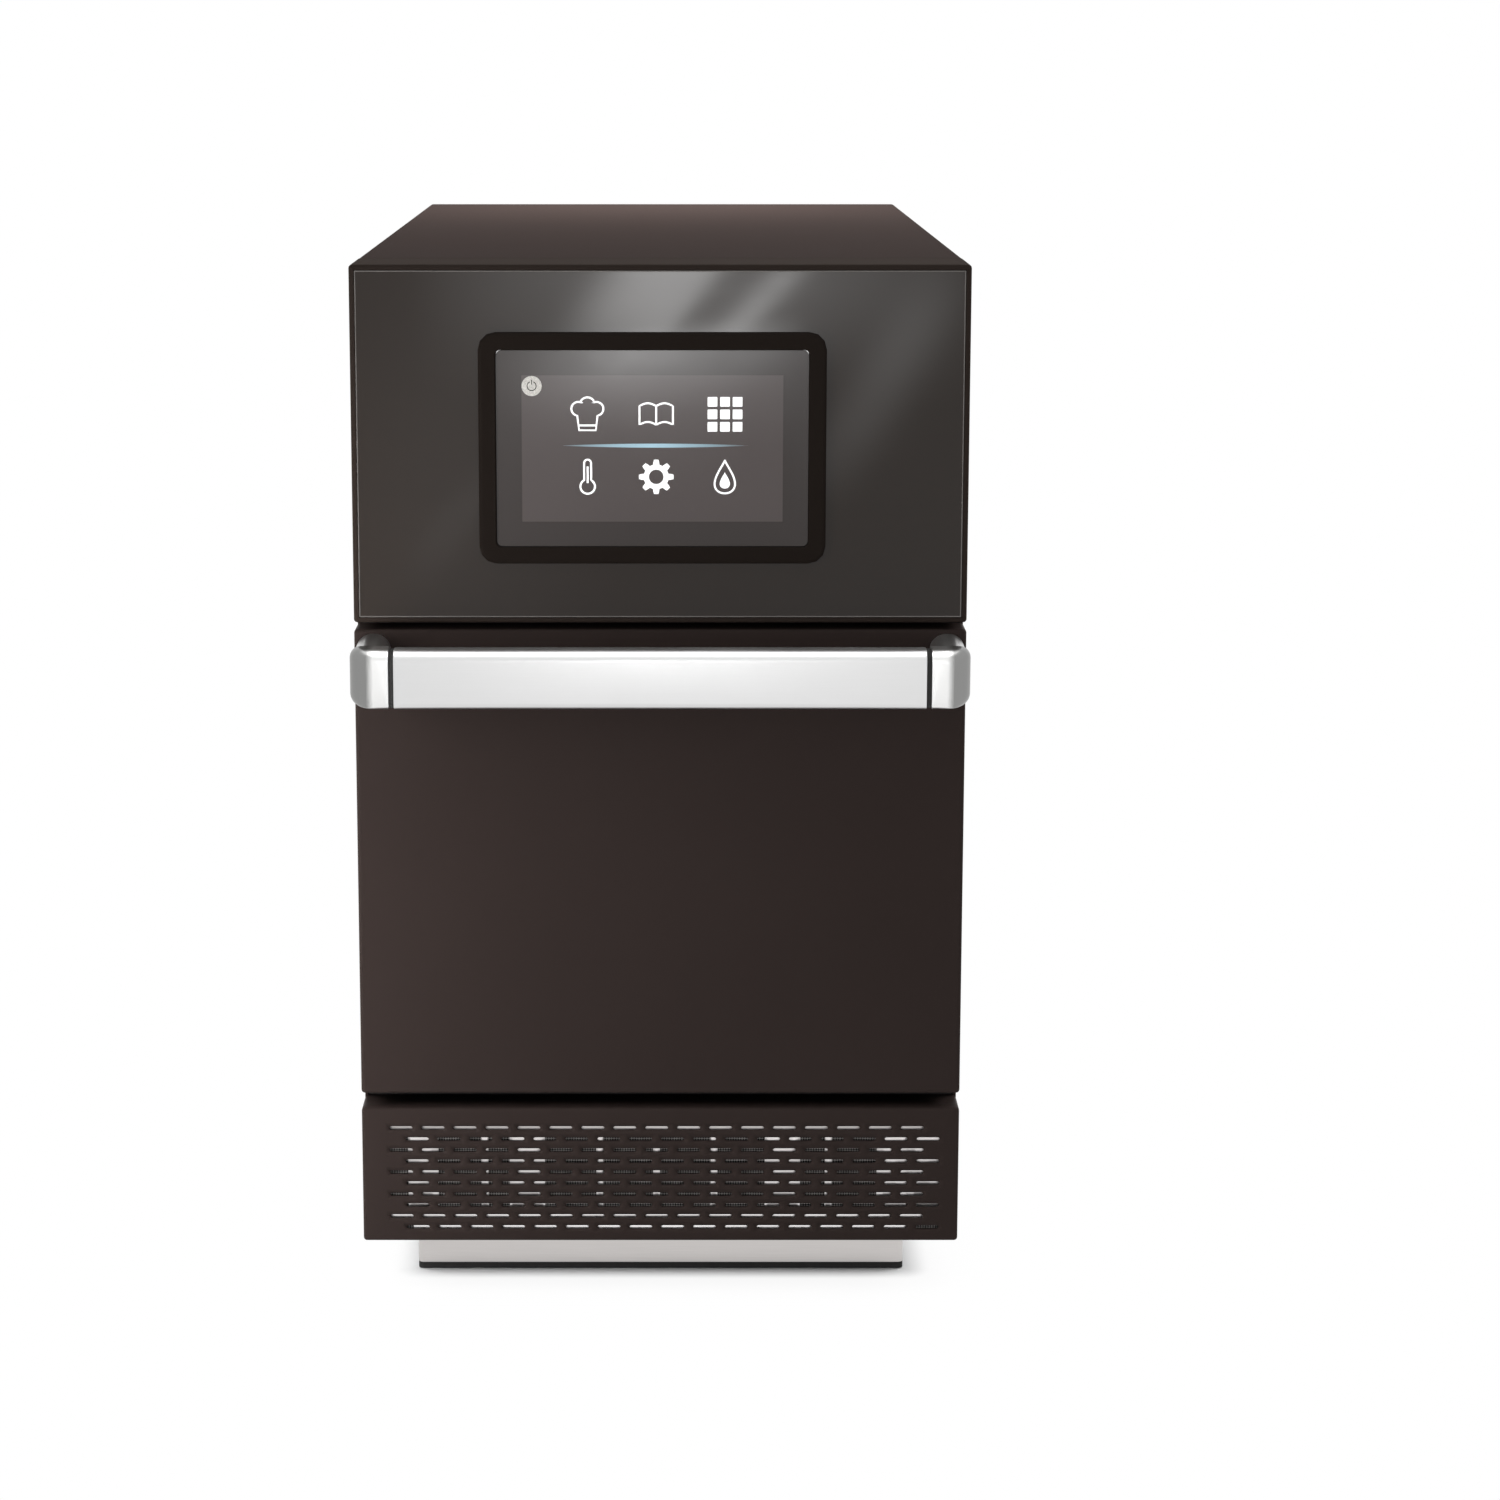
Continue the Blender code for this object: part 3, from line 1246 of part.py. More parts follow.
def hinges(looks):
    """The fixed hinge arms with their pins, and the interlock switches beside the hooks."""
    tab_back = frame_back + clearance + arm_tab_length
    tab = arm_tab_height / 2
    y, z = pivot
    nose = [(y + arm_radius * math.cos(a), z + arm_radius * math.sin(a))
            for a in (math.pi * (0.5 + i / screw_sides) for i in range(screw_sides + 1))]
    behind = frame_back + clearance
    outline = [*nose, (behind, z - arm_radius), (behind, z - tab), (tab_back, z - tab),
               (tab_back, z + tab), (behind, z + tab), (behind, z + arm_radius)]
    for name, direction in (("hinge_bracket_left", -1), ("hinge_bracket_right", 1)):
        middle = direction * arm_side
        half = arm_thickness / 2
        bracket = make(name, [prism(outline, "X", middle - half, middle + half)], looks["galvanised"])
        far = middle + direction * (half + running_gap + hinge_plate_thickness)
        pin = circle(y, z, pin_radius, small_sides)
        fuse(bracket, name + "_pin", [prism(pin, "X", min(middle, far), max(middle, far))])

    y0 = frame_back + clearance
    far = hook_side - hook_thickness / 2 - running_gap
    near = far - switch_width
    half = switch_height / 2
    for name, x0, x1 in (("interlock_switch_left", -far, -near), ("interlock_switch_right", near, far)):
        make(name, [block(x0, x1, y0, y0 + switch_length, hook_level - half, hook_level + half)],
             looks["black_plastic"])


def drawn_in(radius, depth):
    """How far a rounded edge of this radius lies inside its full size at a depth behind the front."""
    if depth >= radius:
        return 0
    return radius - math.sqrt(radius ** 2 - (radius - depth) ** 2)


def handle(looks, carrier):
    """The flat bar, the spacers at its joints, the end castings and their screws."""
    back = handle_front + bar_thickness

    def profile(inset):
        radii = tuple(max(radius - inset, small_radius) for radius in
                      (handle_bottom_radius, handle_back_radius, handle_back_radius, handle_top_radius))
        return round_rectangle(handle_front + inset, back - inset, handle_bottom + inset,
                               handle_top - inset, radii)
    make("handle_bar", [prism(profile(0), "X", -bar_half, bar_half)], looks["handle"], carrier)
    start = bar_half + clearance
    end = start + spacer_thickness
    for name, x0, x1 in (("handle_spacer_left", -end, -start), ("handle_spacer_right", start, end)):
        make(name, [prism(profile(spacer_inset), "X", x0, x1)], looks["rubber"], carrier)

    depths = [drawn_in(end_front_radius, end_front_radius - i / round_sides * end_front_radius)
              for i in range(0, round_sides + 1, 4)]
    depths = sorted(set(depths))
    foot = handle_reach - clearance
    for name, direction in (("handle_end_left", -1), ("handle_end_right", 1)):
        side = end_side_radius
        radii = (side, small_radius, small_radius, side)
        arch = (side, side, stem_top_radius, stem_top_radius)
        shapes = [(depth, 0, 0, radii) for depth in [*depths, bar_thickness]]
        shapes += [(depth, small_radius, stem_inset, arch) for depth in (bar_thickness, foot)]
        loops = []
        for depth, inset, waist, corners in shapes:
            outer = end_outer - inset - drawn_in(end_front_radius, depth)
            low = handle_bottom + inset + drawn_in(handle_bottom_radius, depth)
            rise = handle_foot_rise * depth / foot
            high = handle_top - inset + rise - drawn_in(handle_top_radius, depth)
            outline = round_rectangle(-outer, -end_inner - waist, low, high, corners, stem_steps)
            loops.append(on_plane([(-direction * x, z) for x, z in outline], "Y", handle_front + depth))
        end_piece = make(name, [loft(loops)], looks["casting"], carrier)
        hole = circle(direction * screw_side, screw_level, handle_screw_radius + clearance, small_sides)
        cut(end_piece, name + "_hole",
            [prism(hole, "Y", front - handle_screw_length - clearance, front + overrun)])
    seat = front + sheet + clearance
    shoulder = seat + handle_screw_head_height / 2
    crown = seat + handle_screw_head_height
    profile = [(handle_screw_radius, front - handle_screw_length), (handle_screw_radius, seat),
               (handle_screw_head_radius, seat), (handle_screw_head_radius, shoulder),
               (handle_screw_radius, crown)]
    for name, side in (("handle_screw_left", -screw_side), ("handle_screw_right", screw_side)):
        make(name, [turned(profile, "Y", side, screw_level, small_sides)], looks["screw"], carrier)


def main():
    """Clears the scene and builds the oven."""
    for item in list(bpy.data.objects):
        bpy.data.objects.remove(item, do_unlink=True)
    looks = {
        "casing": look("brown_coating", (52, 43, 41), 0.42, 0.35),
        "fascia": look("dark_frame", (48, 42, 40), 0.30, 0.30),
        "glass": look("dark_glass", (44, 40, 38), 0.06, 0.0),
        "bezel": look("matt_bezel", (38, 33, 30), 0.60, 0.0),
        "screen": look("screen_glass", (92, 84, 84), 0.12, 0.0),
        "handle": look("pale_aluminium", (226, 226, 226), 0.32, 0.8),
        "casting": look("brushed_casting", (178, 178, 178), 0.34, 0.9),
        "steel": look("stainless_steel", (182, 178, 176), 0.36, 0.9),
        "dark_steel": look("dark_steel", (34, 31, 30), 0.55, 0.4),
        "galvanised": look("galvanised_steel", (150, 152, 154), 0.48, 0.8),
        "screw": look("plated_steel", (160, 160, 158), 0.35, 0.9),
        "rubber": look("black_rubber", (30, 30, 30), 0.80, 0.0),
        "black_plastic": look("black_plastic", (28, 28, 28), 0.55, 0.0),
        "coated": look("dark_plate", (46, 44, 44), 0.50, 0.3),
        "ceramic": look("pale_ceramic", (222, 218, 210), 0.35, 0.0),
        "element": look("heater_sheath", (96, 88, 82), 0.45, 0.8),
        "wool": look("mineral_wool", (196, 190, 170), 0.95, 0.0),
        "board": look("circuit_board", (32, 92, 58), 0.50, 0.0),
    }
    door_axis = axis_at("door_axis", 0, *pivot)
    plate_rest_point = axis_at("cook_plate_rest", 0, well_centre, plate_rest)
    cover_rest_point = axis_at("vent_cover_rest", 0, front, plinth_top)
    fan_axis = axis_at("convection_fan_axis", 0, fan_front, chamber_level)
    cooling_level = plinth_top + heavy_sheet + clearance + cooling_frame_size / 2
    cooling_axis = axis_at("cooling_fan_axis", 0, frame_back + cooling_setback, cooling_level)
    stirrer_axis = axis_at("stirrer_axis", 0, well_centre, well_bottom)
    base(looks)
    casing(looks)
    vent_cover(looks, cover_rest_point)
    front_frame(looks)
    chamber(looks, plate_rest_point)
    hot_air(looks, fan_axis)
    microwave(looks, stirrer_axis)
    cooling(looks, cooling_axis)
    electronics(looks)
    fascia(looks)
    door(looks, door_axis)
    hinges(looks)
    handle(looks, door_axis)


main()
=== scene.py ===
"""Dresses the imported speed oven: finishes, handle, vent cover, filter, screen, seal, fittings and a studio.

Lengths are in metres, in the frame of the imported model: -Y is the oven's front and +Z is up.
"""

import functools
import json
import math
from typing import NamedTuple

import bmesh
import bpy
import numpy as np
from bpy.props import FloatProperty, FloatVectorProperty, IntProperty, PointerProperty
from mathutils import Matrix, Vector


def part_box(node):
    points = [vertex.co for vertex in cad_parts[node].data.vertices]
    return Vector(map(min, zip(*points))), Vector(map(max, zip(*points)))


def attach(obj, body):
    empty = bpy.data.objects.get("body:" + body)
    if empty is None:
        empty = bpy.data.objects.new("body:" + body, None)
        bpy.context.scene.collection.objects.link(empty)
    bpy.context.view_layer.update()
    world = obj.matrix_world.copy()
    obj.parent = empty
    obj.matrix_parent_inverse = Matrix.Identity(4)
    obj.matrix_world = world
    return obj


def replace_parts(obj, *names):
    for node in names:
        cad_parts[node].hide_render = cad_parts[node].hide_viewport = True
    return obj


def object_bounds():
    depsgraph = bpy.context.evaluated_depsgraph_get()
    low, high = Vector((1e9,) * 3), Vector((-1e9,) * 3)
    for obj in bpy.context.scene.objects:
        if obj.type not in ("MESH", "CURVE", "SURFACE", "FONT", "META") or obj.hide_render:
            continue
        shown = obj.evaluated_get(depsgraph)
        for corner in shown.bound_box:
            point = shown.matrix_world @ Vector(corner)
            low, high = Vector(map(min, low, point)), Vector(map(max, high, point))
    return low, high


bl_info = {
    "name": "Speed oven dressing",
    "version": (1, 0, 0),
    "blender": (4, 5, 0),
    "location": "3D View > Sidebar > Oven",
    "description": "Finishes, fine surfaces and a studio for a countertop speed oven",
    "category": "Object",
}

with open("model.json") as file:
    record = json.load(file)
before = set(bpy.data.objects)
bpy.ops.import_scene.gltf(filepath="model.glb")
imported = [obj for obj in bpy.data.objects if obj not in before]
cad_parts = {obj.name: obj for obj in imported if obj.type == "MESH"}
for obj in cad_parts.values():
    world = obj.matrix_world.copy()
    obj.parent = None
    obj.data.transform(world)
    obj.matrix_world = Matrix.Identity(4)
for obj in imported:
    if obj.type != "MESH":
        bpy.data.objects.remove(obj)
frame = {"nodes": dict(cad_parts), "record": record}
cad_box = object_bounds()

# How far a grain is drawn out along each axis: a smaller number draws it longer.
EVEN = (1, 1, 1)
ACROSS = (0.02, 1, 1)
UPRIGHT = (1, 1, 0.04)

BRUSH_MARK = 0.0006  # width of one mark of a metal's brushing
SHARP_ANGLE = math.radians(40)  # faces that meet at more than this keep a crisp edge
WELD = 2e-6  # points nearer than this are one
ARC_STEPS = 10  # steps of a round corner that shows
BREAK_STEPS = 3  # steps of a broken edge
SMALL_STEPS = 2  # steps of a corner on a small piece
FRONT_STEPS = 12  # steps of the round front of a handle end
STEM_STEPS = 4  # steps of its stem
LATTICE = 8  # points of the vent cover's lattice along one pitch


def linear(red, green, blue):
    """A colour of 0 to 255 display values as linear light."""
    return tuple(((value / 255 + 0.055) / 1.055) ** 2.4 for value in (red, green, blue))


def scaled(shade, share=1.0):
    """A colour made darker or lighter, with full alpha."""
    return (*[min(value * share, 1) for value in shade], 1)


def near(shade, spread):
    """Two tones, a little darker and a little lighter than a colour."""
    return scaled(shade, 1 - spread), scaled(shade, 1 + spread)


def tone(red, green, blue):
    """A colour of display values, with full alpha."""
    return scaled(linear(red, green, blue))


def grey(level):
    """An even grey of a linear level, with full alpha."""
    return (level, level, level, 1)


def mainly(main, other):
    """Seven parts of one share with three of another."""
    return main * 0.7 + other * 0.3


def smooth(share):
    """A smooth step: three times the share's square, less twice its cube."""
    return share * share * (3 - share * 2)


def corners(node):
    """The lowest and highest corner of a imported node, as arrays."""
    low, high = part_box(node)
    return np.array(low), np.array(high)


def length(name, description, default):
    """A size that a user can change."""
    return FloatProperty(name=name, description=description, default=default, unit="LENGTH", precision=5)


def colour(name, description, shade):
    """A colour that a user can change, written as display values."""
    return FloatVectorProperty(name=name, description=description, default=linear(*shade), subtype="COLOR",
                               size=3, min=0, max=1)


def amount(name, description, default):
    """A share between nothing and all."""
    return FloatProperty(name=name, description=description, default=default, subtype="FACTOR", min=0, max=1)


class OvenColours(bpy.types.PropertyGroup):
    """The finishes' colours."""

    coating: colour("Coating", "Satin coating of the panels", (40, 33, 31))
    frame: colour("Fascia frame", "Hood round the glass front", (40, 34, 31))
    glass: colour("Fascia glass", "Dark glass of the front", (31, 24, 19))
    bezel: colour("Bezel", "Matt frame round the screen", (24, 19, 16))
    screen_margin: colour("Screen margin", "Glass round the display", (42, 36, 34))
    display: colour("Display", "Lit area of the screen", (66, 59, 58))
    marks: colour("Marks", "Pictograms on the screen", (246, 246, 246))
    line: colour("Line", "Line between the rows of marks", (158, 190, 205))
    # The glass edge's grey is partly the ground edge's own colour and partly a painted highlight.
    edge: colour("Glass edge", "Ground edge round the fascia glass", (92, 88, 85))
    bar: colour("Handle bar", "Satin aluminium of the bar", (221, 221, 221))
    casting: colour("Handle ends", "Bright face of the cast ends", (236, 236, 235))
    # The handle ends' side colour is painted shade on their round outer sides, not a second finish.
    casting_painted_shade: colour("Handle end sides", "Painted shade on the round sides of the cast ends", (142, 142, 141))
    steel: colour("Stainless steel", "Brushed steel of the chamber and plinth", (200, 196, 194))
    zinc: colour("Galvanised steel", "Zinc on the hidden sheet metal", (160, 162, 165))


class CoatingGrain(bpy.types.PropertyGroup):
    """The coating's texture."""

    roughness: amount("Roughness", "How dull the coating is", 0.50)
    specular: amount("Reflection", "Specular level of the coating", 0.03)
    dull_roughness: amount("Top roughness", "How dull the coating of the top is", 0.64)
    dull_specular: amount("Top reflection", "Specular level of the top's coating", 0.003)
    grain: length("Grain", "Size of the coating's fine grain", 0.0009)
    grain_depth: length("Grain depth", "Height of the fine grain", 0.00002)
    cloud: length("Cloud", "Size of the faint patches in the coating", 0.16)


class HandleShape(bpy.types.PropertyGroup):
    """Radii of the handle."""

    top_radius: length("Top radius", "Upper front edge of the bar", 0.0065)
    bottom_radius: length("Bottom radius", "Lower front edge of the bar", 0.0040)
    back_radius: length("Back radius", "Rear edges of the bar", 0.0015)
    break_radius: length("Break", "Small radius on the sawn ends", 0.0004)
    end_front_radius: length("End front radius", "Outer front edge of an end", 0.0120)
    end_top_radius: length("End top corner", "Upper outer corner of an end", 0.0060)
    end_bottom_radius: length("End bottom corner", "Lower outer corner of an end", 0.0080)
    cap_depth: length("Cap depth", "How deep the cap in front of the stem is", 0.0140)
    stem_radius: length("Stem radius", "Arched top of the stem", 0.0092)
    stem_waist: length("Stem waist", "How far the stem's inner side lies inside the cap", 0.0018)
    foot_rise: length("Foot rise", "How much higher the stem is at the door", 0.0028)
    # These three place the painted shade on the ends' outer sides, and set how much of it the stem is spared.
    painted_shade_width: length("Painted shade width", "Width of the painted shade on an end's outer side", 0.0140)
    painted_shade_blend: length("Painted shade blend", "How softly the painted shade fades in", 0.0040)
    stem_unshaded_share: amount("Stem unshaded share", "How much of the painted shade the stem is spared", 0.55)


class SlotPattern(bpy.types.PropertyGroup):
    """The slots of the vent cover."""

    columns: IntProperty(name="Columns", description="Slots in one row", default=17, min=1)
    rows: IntProperty(name="Rows", description="Rows of slots", default=10, min=1)
    slot_length: length("Slot length", "Over its round ends", 0.0138)
    slot_height: length("Slot height", "Across its round ends", 0.0023)
    pitch: length("Pitch", "From slot to slot", 0.01905)
    row_pitch: length("Row pitch", "From row to row", 0.00687)
    offset: length("Offset", "How far the pattern's middle lies from the oven's", 0.0025)
    top_margin: length("Top margin", "From the cover's top to the first row", 0.0124)
    edge_radius: length("Edge radius", "Rolled front edge", 0.0020)
    sheet: length("Sheet", "Thickness of the cover", 0.0015)


class FilterShape(bpy.types.PropertyGroup):
    """The light metal filter behind the slots."""

    frame_thickness: length("Frame thickness", "Flat bars in front of the mesh", 0.0008)
    bar_corner: length("Bar corner", "Small radius of the flat bars", 0.0004)
    top_bar: length("Top bar", "Height of the upper bar", 0.0066)
    rail: length("Rail", "Height of the bar across above the lower one", 0.0068)
    wide_post: length("Wide post", "Width of the two wide posts", 0.0212)
    narrow_post: length("Narrow post", "Width of the narrow posts", 0.0042)
    end_post: length("End post", "Width of the posts at both ends", 0.0182)
    left_inset: length("Left inset", "From the filter's left side to its first post", 0.0174)
    right_inset: length("Right inset", "From the filter's right side to its last post", 0.0209)
    foot_inset: length("Foot inset", "How much shorter the lowest bar is at each end", 0.0202)
    weave: length("Weave", "Pitch of the mesh", 0.0030)
    weave_depth: length("Weave depth", "Height of the mesh's relief", 0.0006)


class ScreenLayout(bpy.types.PropertyGroup):
    """What the touch screen shows, set out from the middle of its window."""

    display_width: length("Display width", "Lit area", 0.1503)
    display_height: length("Display height", "Lit area", 0.0849)
    display_edge: length("Display edge", "Soft edge of the lit area", 0.0006)
    marks_right: length("Marks right", "Marks to the right of the window's middle", 0.0022)
    marks_up: length("Marks up", "Marks above the window's middle", 0.0018)
    mark_size: length("Mark size", "Height of a pictogram", 0.0200)
    column_pitch: length("Column pitch", "From pictogram to pictogram", 0.0395)
    row_pitch: length("Row pitch", "Between the two rows of pictograms", 0.0362)
    stroke: length("Stroke", "Width of a drawn line", 0.0011)
    film: length("Film", "How far the marks stand on the glass", 0.00006)
    line_length: length("Line length", "The fading line between the rows", 0.107)
    line_height: length("Line height", "Height of the fading line at its middle", 0.0022)
    power_radius: length("Power mark", "Radius of the round mark in the corner", 0.0058)
    power_inset: length("Power inset", "From the window's corner to the round mark's middle", 0.0205)


class SealShape(bpy.types.PropertyGroup):
    """The door's seal, and the bead round the fascia glass."""

    width: length("Seal width", "Across the seal's foot", 0.009)
    corner: length("Seal corner", "Round outer corners of the seal", 0.023)
    bead_width: length("Bead width", "Across the bead on the glass", 0.0007)
    bead_height: length("Bead height", "How far the bead stands on the glass", 0.00025)
    bead_depth: length("Bead depth", "How far the bead reaches round the glass's edge", 0.001)
    bead_corner: length("Bead corner", "Corners of the bead", 0.0005)


class FittingShape(bpy.types.PropertyGroup):
    """The cable gland and the casing's screws."""

    nut_height: length("Nut height", "The gland's hexagon nut", 0.006)
    nut_gap: length("Nut gap", "Between the nut and the rear panel", 0.0003)
    soft_edge: length("Soft edge", "Broken edges of the gland", 0.0006)
    head_radius: length("Head radius", "A screw's head", 0.0042)
    head_height: length("Head height", "A screw's head", 0.0021)
    screw_inset: length("Screw inset", "From the panel's edge to a screw", 0.012)
    side_inset: length("Side inset", "From the panel's ends to where its side screws' spacing starts", 0.030)


class StudioSetup(bpy.types.PropertyGroup):
    """The camera and the level of the light."""

    distance: length("Distance", "From the camera to the oven's front", 1.888)
    height: length("Height", "Camera above the floor", 0.7529)
    side: length("Side", "Camera to the right of the oven's middle", 0.0048)
    pitch: FloatProperty(name="Pitch", description="How far the camera looks down", default=0.1669,
                         subtype="ANGLE")
    lens: FloatProperty(name="Lens", description="Focal length in millimetres on a 36 mm frame", default=79.3)
    shift_x: FloatProperty(name="Shift across", description="Share of the frame", default=0.0543)
    shift_y: FloatProperty(name="Shift up", description="Share of the frame", default=-0.11)
    sky: FloatProperty(name="Sky", description="Light from all round", default=0.48)
    floor_radius: length("Floor radius", "The round floor's reach", 12.0)
    floor_gap: length("Floor gap", "How far the floor lies under the foot", 0.0003)
    contact_reach: length("Contact shadow", "How far from the foot the dark shadow fades", 0.018)
    shadow_reach: length("Shadow reach", "How far from the foot the faint shadow fades", 0.06)
    shadow_share: amount("Shadow", "The faint shadow's share", 0.12)
    lamp_distance: length("Lamp distance", "From the oven's front to the first streak lamp", 1.685)
    lamp_step: length("Lamp step", "From each streak lamp to the next one behind it", 0.02)


def operator(operation, reflected=False):
    """A method that adds a Math node on a field and another value, in reverse order if it is reflected."""
    def method(self, other):
        terms = (other, self) if reflected else (self, other)
        return self.graph.maths(operation, *terms)

    return method


class Field:
    """A number that varies over a surface: a socket whose operators add Math nodes."""

    def __init__(self, graph, socket):
        self.graph = graph
        self.socket = socket

    __add__ = __radd__ = operator("ADD")
    __mul__ = __rmul__ = operator("MULTIPLY")
    __sub__, __rsub__ = operator("SUBTRACT"), operator("SUBTRACT", reflected=True)
    __truediv__, __rtruediv__ = operator("DIVIDE"), operator("DIVIDE", reflected=True)
    __pow__, __rpow__ = operator("POWER"), operator("POWER", reflected=True)
    __lt__, __gt__ = operator("LESS_THAN"), operator("GREATER_THAN")

    def __abs__(self):
        return self.graph.maths("ABSOLUTE", self)


class Graph:
    """A node tree that is filled with expressions."""

    def __init__(self, tree):
        self.tree = tree

    def node(self, kind, settings=(), inputs=()):
        """Adds a node: its settings first, then a value or a link for each named or numbered socket."""
        made = self.tree.nodes.new(kind)
        for key, value in dict(settings).items():
            setattr(made, key, value)
        for key, value in dict(inputs).items():
            self.feed(made.inputs[key], value)
        return made

    def feed(self, socket, value):
        """Gives a socket a value or a link."""
        if isinstance(value, Field):
            value = value.socket
        if isinstance(value, bpy.types.NodeSocket):
            self.tree.links.new(value, socket)
        else:
            socket.default_value = value

    def maths(self, operation, *terms):
        """One Math node on one or two terms."""
        return Field(self, self.node("ShaderNodeMath", {"operation": operation}, enumerate(terms)).outputs[0])

    def clamp(self, value):
        """The value held between 0 and 1."""
        made = self.node("ShaderNodeMath", {"operation": "ADD", "use_clamp": True}, {0: value, 1: 0.0})
        return Field(self, made.outputs[0])

    def mix(self, share, first, second):
        """A colour between two others."""
        return self.node("ShaderNodeMix", {"data_type": "RGBA"}, {0: share, 6: first, 7: second}).outputs[2]

    def place(self, stretch=EVEN):
        """The point on the surface in the object's own frame, stretched."""
        here = self.node("ShaderNodeTexCoord").outputs["Object"]
        return self.node("ShaderNodeMapping", {}, {"Vector": here, "Scale": stretch}).outputs["Vector"]

    def split(self, vector):
        """The three numbers of a vector."""
        return [Field(self, socket) for socket in self.node("ShaderNodeSeparateXYZ", {}, {0: vector}).outputs]

    def axes(self):
        """The three coordinates of the point on the surface."""
        return self.split(self.place())

    def noise(self, size, detail=2.0, stretch=EVEN):
        """Smooth noise of a feature size in metres, between about 0.3 and 0.7."""
        inputs = {"Vector": self.place(stretch), "Scale": 1 / size, "Detail": detail}
        return Field(self, self.node("ShaderNodeTexNoise", {}, inputs).outputs[0])

    def cells(self, size, output="Distance", feature="F1", randomness=1.0):
        """An output of Voronoi cells of a size in metres."""
        inputs = {"Vector": self.place(), "Scale": 1 / size, "Randomness": randomness}
        return Field(self, self.node("ShaderNodeTexVoronoi", {"feature": feature}, inputs).outputs[output])


class Finish(Graph):
    """A material with one Principled shader."""

    def __init__(self, name, specular=0.5, metallic=0.0):
        self.material = bpy.data.materials.new(name)
        self.material.use_nodes = True
        super().__init__(self.material.node_tree)
        self.shader = self.tree.nodes["Principled BSDF"]
        self.set("Specular IOR Level", specular)
        self.set("Metallic", metallic)

    def set(self, socket, value):
        """Feeds one of the shader's sockets."""
        self.feed(self.shader.inputs[socket], value)

    def shade(self, dark, light, share):
        """Base colour between two colours by a share that varies."""
        self.set("Base Color", self.mix(share, dark, light))

    def dull(self, roughness, *swings):
        """Roughness about a middle: each (share, spread) pair moves it by half its spread to either side."""
        total = roughness - sum(spread for _, spread in swings) / 2
        for share, spread in swings:
            total = share * spread + total
        self.set("Roughness", total)

    def bump(self, height, distance):
        """Relief of a real height in metres."""
        made = self.node("ShaderNodeBump", {}, {"Distance": distance, "Height": height})
        self.set("Normal", made.outputs["Normal"])


FINISHES = {}


def finish(make):
    """Lists a finish under its function's name. It is made on its first use, and only once."""
    FINISHES[make.__name__] = functools.cache(make)
    return make


def colours():
    """The finishes' colours as the scene holds them."""
    return bpy.context.scene.oven_colours


def grained(name, tones, size, detail, roughness, spread, relief=0.0, stretch=EVEN, specular=0.5,
            metallic=0.0):
    """A finish in which one noise moves the colour between two tones, the roughness and any relief."""
    made = Finish(name, specular, metallic)
    grain = made.noise(size, detail, stretch)
    made.shade(*tones, grain)
    made.dull(roughness, (grain, spread))
    if relief:
        made.bump(grain, relief)
    return made.material


def coating(name, roughness, specular):
    """Fine satin coating: faint patches in its colour, and a fine even grain that breaks up its gloss."""
    grain = bpy.context.scene.oven_grain
    made = Finish(name, specular)
    patches = made.noise(grain.cloud, 3)
    fine = made.noise(grain.grain, 3)
    made.shade(*near(colours().coating, 0.14), mainly(patches, fine))
    made.dull(roughness, (fine, 0.16), (patches, 0.10))
    made.bump(fine, grain.grain_depth)
    return made.material


@finish
def brown_coating():
    """The panels' coating."""
    grain = bpy.context.scene.oven_grain
    return coating("oven_brown_coating", grain.roughness, grain.specular)


@finish
def dull_coating():
    """The top's coating, which is duller."""
    grain = bpy.context.scene.oven_grain
    return coating("oven_dull_coating", grain.dull_roughness, grain.dull_specular)


@finish
def dark_frame():
    """Dark satin hood: even in colour, with a grain as fine as the panels'."""
    grain = bpy.context.scene.oven_grain
    return grained("oven_dark_frame", near(colours().frame, 0.1), grain.grain, 3, grain.dull_roughness, 0.12,
                   grain.grain_depth, specular=grain.dull_specular)


@finish
def dark_glass():
    """Dark glass: nearly black and even, with faint wiping marks in its gloss."""
    return grained("oven_dark_glass", near(colours().glass, 0.06), 0.05, 4, roughness=0.06, spread=0.03,
                   stretch=(1, 1, 3), specular=0.3)


@finish
def glass_edge():
    """Ground glass edge: a grey line with fine chatter along it; its grey is partly the ground edge's own
    colour and partly a painted highlight.
    """
    return grained("oven_glass_edge", near(colours().edge, 0.2), 0.0015, 3, roughness=0.4, spread=0.2,
                   specular=0.4)


@finish
def matt_bezel():
    """Matt moulded frame with a fine spark-eroded texture."""
    return grained("oven_matt_bezel", near(colours().bezel, 0.12), 0.0006, 4, roughness=0.6, spread=0.2,
                   relief=0.00004, specular=0.04)


def inside(graph, value, middle, half, soft):
    """1 within a band about a middle, falling to 0 over its soft edges."""
    return graph.clamp((half - abs(value - middle)) / soft + 0.5)


@finish
def screen_glass():
    """Touch screen: a lit display with a soft edge inside a darker margin, and a fine line at its rim."""
    layout = bpy.context.scene.oven_screen
    low, high = corners("touch_screen")
    middle = (low + high) / 2
    margin = colours().screen_margin
    made = Finish("oven_screen_glass", specular=0.35)
    x, _, z = made.axes()
    soft = layout.display_edge
    display, wider = (
        inside(made, x, middle[0], layout.display_width / 2 + growth, soft)
        * inside(made, z, middle[2], layout.display_height / 2 + growth, soft) for growth in (0, soft))
    rim = made.clamp(wider - display)
    drift = mainly((x - low[0]) / (high[0] - low[0]), made.noise(0.09))
    lit = made.mix(made.clamp(drift), scaled(colours().display, 0.92), scaled(colours().display, 1.10))
    shade = made.mix(display, scaled(margin), lit)
    rim_colour, rim_share = scaled(margin, 0.45), 0.35
    made.set("Base Color", made.mix(rim * rim_share, shade, rim_colour))
    made.dull(0.125, (made.noise(0.03, 3), 0.05))
    return made.material


